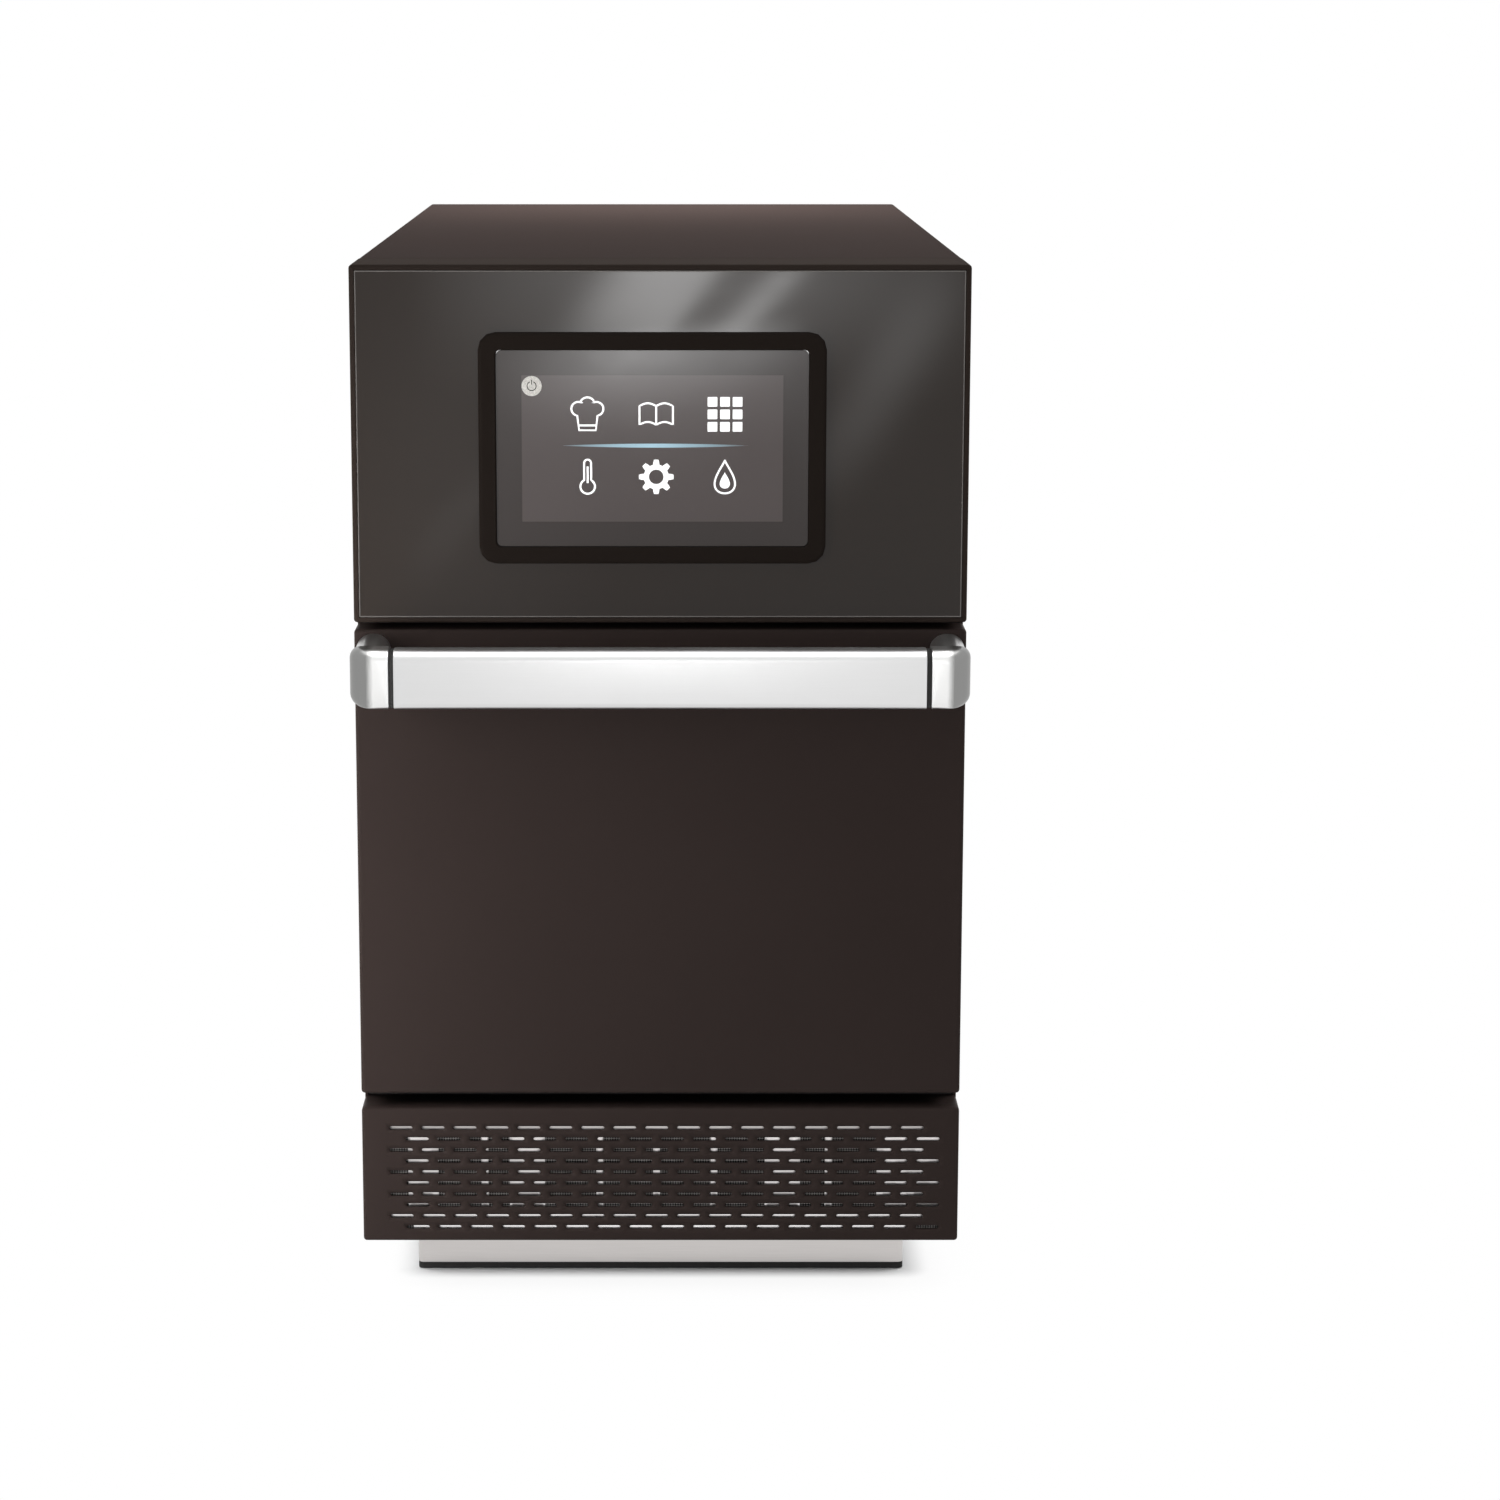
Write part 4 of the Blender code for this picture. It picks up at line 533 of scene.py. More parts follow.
@finish
def screen_marks():
    """Printed white of the pictograms, with the faint dots of a display."""
    made = Finish("oven_screen_marks", specular=0.3)
    dots = made.cells(0.0005)
    made.shade(scaled(colours().marks, 0.94), scaled(colours().marks), dots)
    made.set("Emission Color", scaled(colours().marks))
    made.set("Emission Strength", 0.25)
    made.dull(0.35, (dots, 0.1))
    return made.material


@finish
def screen_line():
    """The line between the rows: pale blue in the middle, and the display's colour at its ends."""
    layout = bpy.context.scene.oven_screen
    low, high = corners("touch_screen")
    made = Finish("oven_screen_line", specular=0.3)
    x, _, _ = made.axes()
    share = made.clamp(1 - abs(x - (low[0] + high[0]) / 2) / (layout.line_length / 2)) ** 0.6
    made.shade(scaled(colours().display, 0.95), scaled(colours().line), share)
    made.dull(0.3, (made.noise(0.004), 0.1))
    return made.material


@finish
def power_mark():
    """The round touch mark: pale satin with a pattern of fine dots."""
    made = Finish("oven_power_mark")
    dots = made.cells(0.0007)
    made.shade(tone(150, 147, 142), tone(206, 204, 198), dots)
    made.dull(0.4, (dots, 0.1))
    return made.material


def metal(name, shade, roughness, stretch, grain=BRUSH_MARK, contrast=0.10, depth=0.000006):
    """Brushed metal: noise drawn out along the brushing varies its colour, gloss and relief."""
    made = Finish(name, metallic=1.0)
    brushed = made.noise(grain, 3, stretch)
    worn = made.noise(0.07, 3)
    made.shade(*near(shade, contrast), mainly(brushed, worn))
    made.dull(roughness, (brushed, 0.12), (worn, 0.10))
    made.bump(brushed, depth)
    return made


@finish
def pale_aluminium():
    """Satin aluminium, brushed along the bar."""
    return metal("oven_pale_aluminium", colours().bar, 0.36, ACROSS, contrast=0.03, depth=0.000003).material


@finish
def brushed_casting():
    """Brushed casting, drawn upright: bright, with painted shade on the cap's round outer side, where it
    turns away.

    The stem behind the cap is spared part of that painted shade, which leaves a painted highlight on it.
    """
    shape = bpy.context.scene.oven_handle
    low, high = corners("handle_end_right")
    made = metal("oven_brushed_casting", colours().casting, 0.32, UPRIGHT)
    x, y, _ = made.axes()
    brushed = made.noise(BRUSH_MARK, 3, UPRIGHT)
    # Painted shade: the end darkens on its outer side, less so on the stem, which keeps a painted highlight.
    side_shade_mask = made.clamp((abs(x) - (high[0] - shape.painted_shade_width)) / shape.painted_shade_blend + brushed * 0.4 - 0.2)
    behind = made.clamp((y - (low[1] + shape.cap_depth)) / shape.painted_shade_blend)
    made.shade(scaled(colours().casting), scaled(colours().casting_painted_shade),
               side_shade_mask * (1 - behind * shape.stem_unshaded_share))
    return made.material


@finish
def stainless_steel():
    """Stainless steel, brushed across the oven."""
    return metal("oven_stainless_steel", colours().steel, 0.34, ACROSS).material


@finish
def light_alloy():
    """Light alloy as it was cast, with a fine pitted skin."""
    return metal("oven_light_alloy", linear(166, 168, 170), 0.45, EVEN, grain=0.0016, depth=0.00005).material


@finish
def plated_steel():
    """Zinc plated steel of screws, pins and hooks."""
    return metal("oven_plated_steel", linear(170, 170, 166), 0.32, EVEN, grain=0.0012).material


@finish
def filter_bars():
    """Bright pressed aluminium of the filter's bars, with painted shade that darkens them towards the top,
    where they are also rougher.
    """
    low, high = corners("air_filter")
    made = Finish("oven_filter_bars", metallic=1.0)
    brushed = made.noise(BRUSH_MARK, 3, (0.1, 1, 1))
    _, _, z = made.axes()
    # Painted shade: the bars' colour darkens with height, and the same mask raises their roughness.
    top_shade = made.clamp((z - low[2]) / (high[2] - low[2]) * 0.9 + brushed * 0.2 - 0.1)
    made.shade(tone(252, 250, 250), tone(196, 190, 188), top_shade)
    made.dull(0.36, (brushed, 0.12), (top_shade, 0.2))
    made.bump(brushed, 0.000006)
    return made.material


@finish
def filter_mesh():
    """Woven filter mesh: bright wires on the crests of the weave, and painted shade for the dark openings
    between them.
    """
    turn = 2 * math.pi / bpy.context.scene.oven_filter.weave
    made = Finish("oven_filter_mesh", metallic=0.8)
    x, _, z = made.axes()
    weave = made.maths("SINE", (x + z) * turn) * made.maths("SINE", (x - z) * turn)
    # Painted shade: where this share is low, the sheet is coloured dark as though it showed the shade behind
    # an opening.
    wire_share = made.clamp(weave * 0.9 + made.noise(0.004, 3) * 0.9 - 0.1)
    made.shade(tone(28, 26, 25), tone(176, 172, 170), wire_share)
    made.dull(0.45, (wire_share, 0.2))
    return made.material


@finish
def galvanised_steel():
    """Galvanised sheet: flat crystals of unlike grey with a dull bloom over them."""
    made = Finish("oven_galvanised_steel", metallic=0.9)
    crystals = made.node("ShaderNodeRGBToBW", {}, {0: made.cells(0.011, "Color")})
    spangle = Field(made, crystals.outputs[0])
    bloom = made.noise(0.03, 4)
    made.shade(scaled(colours().zinc, 0.72), scaled(colours().zinc, 1.15), mainly(spangle, bloom))
    made.dull(0.445, (spangle, 0.18), (bloom, 0.15))
    return made.material


@finish
def dark_steel():
    """Black painted steel with a dry satin skin."""
    return grained("oven_dark_steel", (tone(20, 18, 17), tone(31, 28, 27)), 0.0012, 3, roughness=0.55,
                   spread=0.2, relief=0.00003, specular=0.3)


@finish
def black_rubber():
    """Black rubber, dusty in its pores."""
    return grained("oven_black_rubber", (tone(20, 20, 20), tone(42, 41, 40)), 0.0009, 5, roughness=0.775,
                   spread=0.15, relief=0.00008, specular=0.3)


def plastic(name, *tones):
    """Moulded plastic with a fine even grain."""
    return grained(name, tones, 0.0007, 4, roughness=0.52, spread=0.2, relief=0.00004, specular=0.4)


@finish
def black_plastic():
    """Black moulded plastic of the fan and the switches."""
    return plastic("oven_black_plastic", tone(22, 22, 22), tone(36, 36, 36))


@finish
def grey_plastic():
    """Grey moulded plastic."""
    return plastic("oven_grey_plastic", tone(92, 94, 96), tone(118, 120, 122))


@finish
def heater_sheath():
    """Heater sheath, tinted brown and blue by its heat."""
    return grained("oven_heater_sheath", (tone(84, 70, 60), tone(112, 110, 116)), 0.02, 3, roughness=0.45,
                   spread=0.2, metallic=0.8)


@finish
def mineral_wool():
    """Mineral wool: matted pale fibres."""
    return grained("oven_mineral_wool", (tone(160, 150, 122), tone(216, 210, 190)), 0.0025, 6, roughness=0.93,
                   spread=0.1, relief=0.0009, stretch=(1, 0.3, 1), specular=0.1)


def speckled(name, tones, speck, size, reach, share, cloud, roughness, spread, metallic=0.0):
    """A cloudy finish with a speck in the middle of each cell, as wide as its reach."""
    made = Finish(name, metallic=metallic)
    patches = made.noise(cloud, 3)
    specks = made.cells(size) < reach
    made.set("Base Color", made.mix(specks * share, made.mix(patches, *tones), speck))
    made.dull(roughness, (patches, spread))
    return made


@finish
def dark_plate():
    """Dark non-stick plate with fine pale flecks."""
    made = speckled("oven_dark_plate", (tone(40, 38, 38), tone(58, 55, 54)), tone(128, 126, 122), size=0.0022,
                    reach=0.22, share=0.5, cloud=0.05, roughness=0.48, spread=0.2, metallic=0.2)
    made.bump(made.noise(0.0015, 3), 0.00005)
    return made.material


@finish
def pale_ceramic():
    """Pale glazed ceramic with faint speckles."""
    made = speckled("oven_pale_ceramic", (tone(214, 209, 199), tone(232, 228, 221)), tone(168, 158, 142),
                    size=0.0035, reach=0.16, share=0.35, cloud=0.06, roughness=0.335, spread=0.15)
    return made.material


@finish
def circuit_board():
    """Circuit board: green lacquer over square-cornered tracks, with tinned pads."""
    pitch = 0.006
    made = Finish("oven_circuit_board")
    tracks = made.cells(pitch, feature="DISTANCE_TO_EDGE", randomness=0.35) < 0.10
    pads = made.cells(pitch) < 0.15
    lacquer = made.mix(tracks * 0.8, tone(22, 78, 46), tone(46, 122, 74))
    made.set("Base Color", made.mix(pads, lacquer, tone(198, 196, 186)))
    made.set("Metallic", pads * 0.9)
    made.dull(0.37, (pads, 0.1))
    return made.material


NODE_FINISHES = {"top_cover": "dull_coating"}  # nodes whose finish differs from that of their slot


def paint_nodes():
    """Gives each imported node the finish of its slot, or one of its own."""
    for row in frame["record"]["subparts"]:
        look = FINISHES[NODE_FINISHES.get(row["node"], row["material_slot"])]()
        for slot in frame["nodes"][row["node"]].material_slots:
            slot.material = look


def grid_quads(rows, columns, ring=True, loop=False):
    """Quads between neighbours of a grid. A ring joins its last column to its first, and a loop its rows."""
    row = np.arange(rows if loop else rows - 1)[:, None]
    column = np.arange(columns if ring else columns - 1)[None, :]
    below = (row + 1) % rows * columns
    beside = (column + 1) % columns
    quads = np.stack([row * columns + column, row * columns + beside, below + beside, below + column], axis=2)
    return quads.reshape(-1, 4)


def patch(points, ring=True, loop=False):
    """A grid of points with its quads."""
    return points.reshape(-1, 3), grid_quads(points.shape[0], points.shape[1], ring, loop)


def repeated(shape, places):
    """Copies of a patch, moved to each place."""
    points, quads = shape
    moved = points[None] + np.asarray(places)[:, None]
    starts = np.arange(len(places))[:, None, None] * len(points)
    return moved.reshape(-1, 3), (quads[None] + starts).reshape(-1, 4)


def round_angles(steps):
    """Evenly spread angles of a full turn."""
    return np.linspace(0, 2 * math.pi, steps, endpoint=False)


def polar(middle, radius, angle):
    """Points round a middle, at one radius or at each angle's own."""
    return np.asarray(middle) + np.stack([np.cos(angle), np.sin(angle)], axis=1) * np.reshape(radius, (-1, 1))


def circle(middle, radius, steps):
    """Evenly spread points of a circle."""
    return polar(middle, radius, round_angles(steps))


def arc(middle, radius, start, end, steps):
    """Points along an arc from one angle to another, in half turns, with both ends."""
    return polar(middle, radius, np.linspace(start, end, steps) * math.pi)


def rounded(low, high, radii, steps):
    """A rectangle from low to high whose corners are arcs, anticlockwise from the lower left one.

    Each arc's centre lies one radius inside both sides, and its angle runs through a quarter turn.
    """
    radii = np.broadcast_to(np.asarray(radii, float), 4)
    corner = np.array([(low[0], low[1]), (high[0], low[1]), (high[0], high[1]), (low[0], high[1])])
    inwards = np.array([(1, 1), (-1, 1), (-1, -1), (1, -1)])
    centre = corner + inwards * radii[:, None]
    angle = math.pi + (np.arange(4)[:, None] + np.linspace(0, 1, steps + 1)[None]) * math.pi / 2
    turned_out = np.stack([np.cos(angle), np.sin(angle)], axis=2)
    return (centre[:, None] + radii[:, None, None] * turned_out).reshape(-1, 2)


def stacked(outlines, levels, axis):
    """Outlines set square to an axis at their levels: X holds (y, z), Y holds (x, z) and Z holds (x, y)."""
    outlines = np.asarray(outlines, float)
    level = np.broadcast_to(np.asarray(levels, float)[:, None, None], (*outlines.shape[:2], 1))
    first, second = outlines[..., :1], outlines[..., 1:]
    order = {"X": (level, first, second), "Y": (first, level, second), "Z": (first, second, level)}
    return np.concatenate(order[axis], axis=2)


def capped(grid):
    """Loops closed at both ends by a row drawn to the end loop's middle."""
    first, last = (np.broadcast_to(row.mean(axis=0), row.shape) for row in (grid[0], grid[-1]))
    return np.concatenate([first[None], grid, last[None]])


def quarter(radius, steps):
    """A quarter round as (inset, depth) pairs, from fully drawn in at the face to nothing at its depth.

    The inset is the radius times one less the angle's sine, and the depth the radius times one less its
    cosine.
    """
    angle = np.linspace(0, math.pi / 2, steps + 1)
    return np.stack([radius * (1 - np.sin(angle)), radius * (1 - np.cos(angle))], axis=1)


def drawn_in(radius, depth):
    """How far a round edge of this radius lies inside its full size, at a depth behind the face.

    With what is left of the radius behind that depth, it is the radius less the root of the two squares'
    difference.
    """
    below = max(radius - depth, 0)
    return radius - math.sqrt(max(radius ** 2 - below ** 2, 0))


def joined(name, patches, material, outwards=False):
    """Joins patches into one object, welds their shared edges, and turns a closed skin outwards."""
    starts = np.cumsum([0] + [len(points) for points, _ in patches])
    points = np.concatenate([points for points, _ in patches])
    quads = np.concatenate([quads + start for (_, quads), start in zip(patches, starts)])
    mesh = bpy.data.meshes.new(name)
    mesh.from_pydata(points.tolist(), [], quads.tolist())
    shape = bmesh.new()
    shape.from_mesh(mesh)
    bmesh.ops.remove_doubles(shape, verts=shape.verts, dist=WELD)
    if outwards:
        bmesh.ops.recalc_face_normals(shape, faces=shape.faces)
    shape.to_mesh(mesh)
    shape.free()
    mesh.materials.append(material)
    made = bpy.data.objects.new(name, mesh)
    bpy.context.scene.collection.objects.link(made)
    return made


def piece(name, patches, look, body, outwards=True):
    """A new piece on its body, shaded smooth between its crisp edges."""
    made = joined(name, patches, FINISHES[look](), outwards)
    made.data.shade_smooth()
    made.data.set_sharp_from_angle(angle=SHARP_ANGLE)
    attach(made, body)
    return made


def thicken(made, thickness):
    """Gives an open sheet its wall, on its back."""
    wall = made.modifiers.new("wall", "SOLIDIFY")
    wall.thickness = thickness
    wall.offset = -1


def bar_grid(low, high, shape):
    """The bar's profile, a rectangle with four unlike corner arcs, carried along X between its sawn ends.

    At each end the profile is drawn in by a small quarter round.
    """
    inset, depth = quarter(shape.break_radius, BREAK_STEPS).T
    insets = np.concatenate([inset, inset[::-1]])
    levels = np.concatenate([low[0] + depth, high[0] - depth[::-1]])
    radii = np.array([shape.bottom_radius, shape.back_radius, shape.back_radius, shape.top_radius])
    outlines = [rounded(low[1:] + gap, high[1:] - gap, radii - gap, ARC_STEPS) for gap in insets]
    return capped(stacked(outlines, levels, "X"))


def end_grid(low, high, direction, shape):
    """A handle end: its outline shrinks to the front by each side's own quarter round, and a stem follows.

    Outlines run in (x, z), and their top rises evenly towards the door. A left end is the mirror image of a
    right one.
    """
    reach = high[1] - low[1]
    inner, outer = sorted((abs(low[0]), abs(high[0])))
    crisp = shape.break_radius

    def outline(depth, inner_gap, lower_gap, outer_gap, upper_gap, radii):
        top = high[2] - shape.foot_rise * (1 - depth / reach)
        return rounded((inner + inner_gap, low[2] + lower_gap), (outer - outer_gap, top - upper_gap), radii,
                       ARC_STEPS)

    front = quarter(shape.end_front_radius, FRONT_STEPS)[:, 1]
    tucks, rims = quarter(crisp, BREAK_STEPS)[:-1][::-1].T
    cap = np.concatenate([front, shape.cap_depth - rims])
    stem = np.linspace(shape.cap_depth, reach, STEM_STEPS + 1)
    shown_radii = (crisp, shape.bottom_radius, shape.end_front_radius, shape.top_radius)
    cap_corners = (crisp, shape.end_bottom_radius, shape.end_top_radius, crisp)
    stem_corners = (shape.end_bottom_radius, shape.end_bottom_radius, shape.stem_radius, shape.stem_radius)
    outlines = [outline(depth, *[drawn_in(radius, depth) + tuck for radius in shown_radii], cap_corners)
                for depth, tuck in zip(cap, [0] * len(front) + tucks.tolist())]
    outlines += [outline(depth, shape.stem_waist, crisp * 2, crisp * 2, crisp, stem_corners)
                 for depth in stem]
    grid = stacked(outlines, low[1] + np.concatenate([cap, stem]), "Y")
    grid[..., 0] *= direction
    return capped(grid)


def dress_handle(shape):
    """The bar and its two ends."""
    bar = bar_grid(*corners("handle_bar"), shape)
    made = piece("handle_bar_satin", [patch(bar)], "pale_aluminium", "door")
    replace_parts(made, "handle_bar")
    for side, direction in (("left", -1), ("right", 1)):
        node = f"handle_end_{side}"
        end = end_grid(*corners(node), direction, shape)
        made = piece(f"{node}_cast", [patch(end)], "brushed_casting", "door")
        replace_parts(made, node)


def row_heights(pattern):
    """The height of each row of slots, from the top one down."""
    top = corners("vent_cover")[1][2]
    return top - pattern.top_margin - np.arange(pattern.rows) * pattern.row_pitch


def slot_cells(pattern, front):
    """Every slot's cell: a ring between the cell's rectangle and the slot's outline with round ends.

    Both loops have as many points. The rectangle's lie on the cover's lattice, so that the cells of one row,
    half a pitch off, meet those of the next point to point.
    """
    across = np.linspace(-1, 1, LATTICE + 1)
    edge = np.ones(LATTICE)
    rectangle = np.concatenate([
        np.stack([across[:-1], -edge], axis=1), [(1, -1), (1, 0)],
        np.stack([across[:0:-1], edge], axis=1), [(-1, 1), (-1, 0)]])
    rectangle *= (pattern.pitch / 2, pattern.row_pitch / 2)
    radius = pattern.slot_height / 2
    flat = pattern.slot_length / 2 - radius
    slant = radius * math.sqrt(0.5)
    run = np.linspace(-flat, flat, LATTICE - 1)
    side = np.full(LATTICE - 1, radius)
    slot = np.concatenate([
        [(-flat - slant, -slant)], np.stack([run, -side], axis=1),
        [(flat + slant, -slant), (flat + radius, 0), (flat + slant, slant)],
        np.stack([run[::-1], side], axis=1), [(-flat - slant, slant), (-flat - radius, 0)]])
    odd = np.arange(pattern.rows)[:, None] % 2
    column = np.arange(pattern.columns)[None] - (pattern.columns - 1) / 2
    x = column * pattern.pitch + pattern.offset + np.where(odd, 1, -1) * pattern.pitch / 4
    centres = np.stack(np.broadcast_arrays(x, front, row_heights(pattern)[:, None]), axis=2)
    return repeated(patch(stacked([rectangle, slot], [0, 0], "Y")), centres.reshape(-1, 3))


def margin_cells(pattern, front):
    """The plain half cell at the right of each even row and at the left of each odd one, on the lattice."""
    across = np.linspace(0, pattern.pitch / 2, LATTICE // 2 + 1)[None]
    up = np.array([-0.5, 0, 0.5])[:, None] * pattern.row_pitch
    cell = np.stack(np.broadcast_arrays(across, 0.0, up), axis=2)
    reach = pattern.columns * pattern.pitch / 2
    odd = np.arange(pattern.rows) % 2
    left = pattern.offset - pattern.pitch / 4 + np.where(odd, -reach, reach)
    places = np.stack(np.broadcast_arrays(left, front, row_heights(pattern)), axis=1)
    return repeated(patch(cell, ring=False), places)


def bordered(low, high, radius, across, upright, steps=4):
    """A rectangle with round corners, and with evenly spread points along its sides."""
    arcs = rounded(low, high, radius, steps).reshape(4, steps + 1, 2)
    parts = []
    for index, count in enumerate((across, upright, across, upright)):
        share = np.linspace(0, 1, count + 1)[1:-1, None]
        start, end = arcs[index, -1], arcs[(index + 1) % 4, 0]
        parts += [arcs[index], start + (end - start) * share]
    return np.concatenate(parts)


def cover_rim(pattern, low, high):
    """Rings from the cover's open back, round its rolled front edge, to the edge of the slots' lattice."""
    rows = row_heights(pattern)
    reach = (pattern.columns + 0.5) * pattern.pitch / 2
    points = (pattern.columns * LATTICE + LATTICE // 2, pattern.rows * 2)
    inset, depth = quarter(pattern.edge_radius, 6)[::-1].T
    smallest = pattern.edge_radius / 10
    outlines = []
    for gap in (0, *inset):
        radius = max(pattern.edge_radius - gap, smallest)
        outlines.append(bordered(low[[0, 2]] + gap, high[[0, 2]] - gap, radius, *points))
    outlines.append(bordered((pattern.offset - reach, rows[-1] - pattern.row_pitch / 2),
                             (pattern.offset + reach, rows[0] + pattern.row_pitch / 2), 0, *points))
    return stacked(outlines, [high[1], *(low[1] + depth), low[1]], "Y")


def dress_cover(pattern):
    """The pressed intake cover with its staggered slots."""
    low, high = corners("vent_cover")
    rim = patch(cover_rim(pattern, low, high))
    patches = [rim, slot_cells(pattern, low[1]), margin_cells(pattern, low[1])]
    made = piece("vent_cover_pressed", patches, "brown_coating", "vent_cover",
                 outwards=False)
    thicken(made, pattern.sheet)
    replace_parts(made, "vent_cover")


def flat_bar(left, right, bottom, top, front, back, radius):
    """A flat bar with small round corners, whose front edges are drawn in by a smaller quarter round."""
    inset, depth = quarter(radius * 0.6, SMALL_STEPS).T
    outlines = [rounded((left + gap, bottom + gap), (right - gap, top - gap), radius, SMALL_STEPS)
                for gap in (*inset, 0)]
    return patch(capped(stacked(outlines, [*(front + depth), back], "Y")))


# The middles of the filter's wide and narrow posts, as shares of its half width from the oven's middle.
WIDE_POSTS = (-0.473, 0.433)
NARROW_POSTS = (-0.624, -0.216, -0.014, 0.190, 0.596)


def bar_patches(shape, slots, front, back):
    """The filter's flat bars: one behind the first row of slots, two behind the last rows, posts between.

    A thinner plate fills the place to the right of the last post.
    """
    low, high = corners("air_filter")
    rows = row_heights(slots)
    past = slots.row_pitch * 0.6
    under_top, foot_top = rows[0] - past, rows[-1] + past
    rail_top = foot_top + shape.rail
    first, last = low[0] + shape.left_inset, high[0] - shape.right_inset
    half = (high[0] - low[0]) / 2
    posts = [(first, first + shape.end_post), (last - shape.end_post, last)]
    for shares, width in ((WIDE_POSTS, shape.wide_post), (NARROW_POSTS, shape.narrow_post)):
        posts += [(share * half - width / 2, share * half + width / 2) for share in shares]
    bars = [(low[0], high[0], under_top, min(under_top + shape.top_bar, high[2])),
            (low[0], high[0], foot_top, rail_top),
            (low[0] + shape.foot_inset, high[0] - shape.foot_inset, low[2], foot_top)]
    bars += [(left, right, rail_top, under_top) for left, right in posts]
    thin = flat_bar(last, high[0], rail_top, under_top, (front + back) / 2, back, shape.bar_corner)
    return [flat_bar(*bar, front, back, shape.bar_corner) for bar in bars] + [thin]


def dress_filter(shape, slots):
    """The filter: flat bright bars, and behind them a woven mesh whose relief is a product of two sines."""
    low, high = corners("air_filter")
    back = low[1] + shape.frame_thickness
    bars = bar_patches(shape, slots, low[1], back)
    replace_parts(piece("filter_bars", bars, "filter_bars", "vent_cover"), "air_filter")

    step = shape.weave / 4
    x = np.arange(low[0] + step, high[0] - step, step)[None, :]
    z = np.arange(low[2] + step, high[2] - step, step)[:, None]
    turn = 2 * math.pi / shape.weave
    relief = np.sin((x + z) * turn) * np.sin((x - z) * turn) * shape.weave_depth / 2
    sheet = np.stack(np.broadcast_arrays(x, back + shape.weave_depth - relief, z), axis=2)
    mesh = piece("filter_mesh", [patch(sheet, ring=False)], "filter_mesh", "vent_cover",
                 outwards=False)
    thicken(mesh, shape.weave_depth / 2)


def stroke(points, width, level, film, closed=False):
    """A flat line of a width drawn along (x, z) points: at each point it spreads along the path's normal."""
    points = np.asarray(points, float)
    before = np.roll(points, 1, axis=0)
    after = np.roll(points, -1, axis=0)
    if not closed:
        before[0] = points[0]
        after[-1] = points[-1]
    along = after - before
    along /= np.linalg.norm(along, axis=1, keepdims=True)
    normal = np.stack([-along[:, 1], along[:, 0]], axis=1) * width / 2
    left, right = points + normal, points - normal
    levels = [level, level - film, level - film, level]
    grid = np.swapaxes(stacked([left, left, right, right], levels, "Y"), 0, 1)
    return patch(grid, loop=True) if closed else patch(capped(grid))


def drawn(lines, place, size, width, level, film):
    """A mark's strokes. Its lines are given about its middle, in shares of its size."""
    return [stroke(np.asarray(points) * size + place, width, level, film, closed) for points, closed in lines]


def disc(outer, inner, level, film):
    """A flat ring between two closed (x, z) outlines of as many points, a film thick."""
    grid = stacked([inner, outer, outer, inner], [level - film, level - film, level, level], "Y")
    return patch(grid, loop=True)


def plate(outline, level, film):
    """A filled flat shape, a film thick."""
    return patch(capped(stacked([outline, outline], [level - film, level], "Y")))


def cap_mark():
    """A cook's cap: three round lobes over a straight band."""
    lobes = [arc((-0.26, 0.16), 0.20, 1.45, 0.30, 14), arc((0, 0.27), 0.22, 0.85, 0.15, 12),
             arc((0.26, 0.16), 0.20, 0.70, -0.45, 14)]
    band = [(0.24, -0.46), (-0.24, -0.46)]
    line = [(-0.24, -0.32), (0.24, -0.32)]
    return [(np.concatenate([*lobes, band]), True), (line, False)]


def book_mark():
    """An open book: two pages whose upper and lower edges arch from the spine as a sine."""
    page, rise, edges = 0.48, 0.08, (0.24, -0.30)
    share = np.linspace(0, 1, 12)
    arch = np.sin(share * math.pi) * rise
    lines = [([(0, edge) for edge in edges], False)]
    for side in (-1, 1):
        top, bottom = (np.stack([side * share * page, edge + arch], axis=1) for edge in edges)
        lines.append((np.concatenate([top, bottom[::-1]]), False))
    return lines


def tile_outlines():
    """Nine squares with slightly round corners, in three rows."""
    pitch, half, corner = 0.36, 0.14, 0.02
    middles = [np.array((column, row)) * pitch for column in (-1, 0, 1) for row in (-1, 0, 1)]
    return [rounded(middle - half, middle + half, corner, SMALL_STEPS) for middle in middles]


def thermometer_mark():
    """A thermometer: a round bulb under a tube with a round end."""
    neck = 0.5 / math.pi  # half of the opening that the bulb leaves, in half turns
    bulb = arc((0, -0.28), 0.21, 0.5 + neck, 2.5 - neck, 24)
    tip = arc((0, 0.40), 0.10, 0, 1, 10)
    return [(np.concatenate([bulb, tip]), True), ([(0, 0.30), (0, -0.18)], False)]


def gear_outlines(teeth=8, steps=96):
    """A gear's edge and its bore: the edge swings between root and tip as a clipped cosine of the angle."""
    pitch_radius, half_tooth, bore, steepness = 0.43, 0.07, 0.21, 2.2
    angle = round_angles(steps)
    wave = np.clip(np.cos(angle * teeth) * steepness, -1, 1)
    return polar((0, 0), pitch_radius + half_tooth * wave, angle), circle((0, 0), bore, steps)


def drop_outline():
    """A drop: its half width is a sine of the angle, drawn to a point at the top by the half angle's sine."""
    fullness, half_height, pointed = 0.42, 0.48, 1.5
    angle = round_angles(40)
    across = np.sin(angle) * np.sin(angle / 2) ** pointed * fullness
    return np.stack([across, np.cos(angle) * half_height], axis=1)


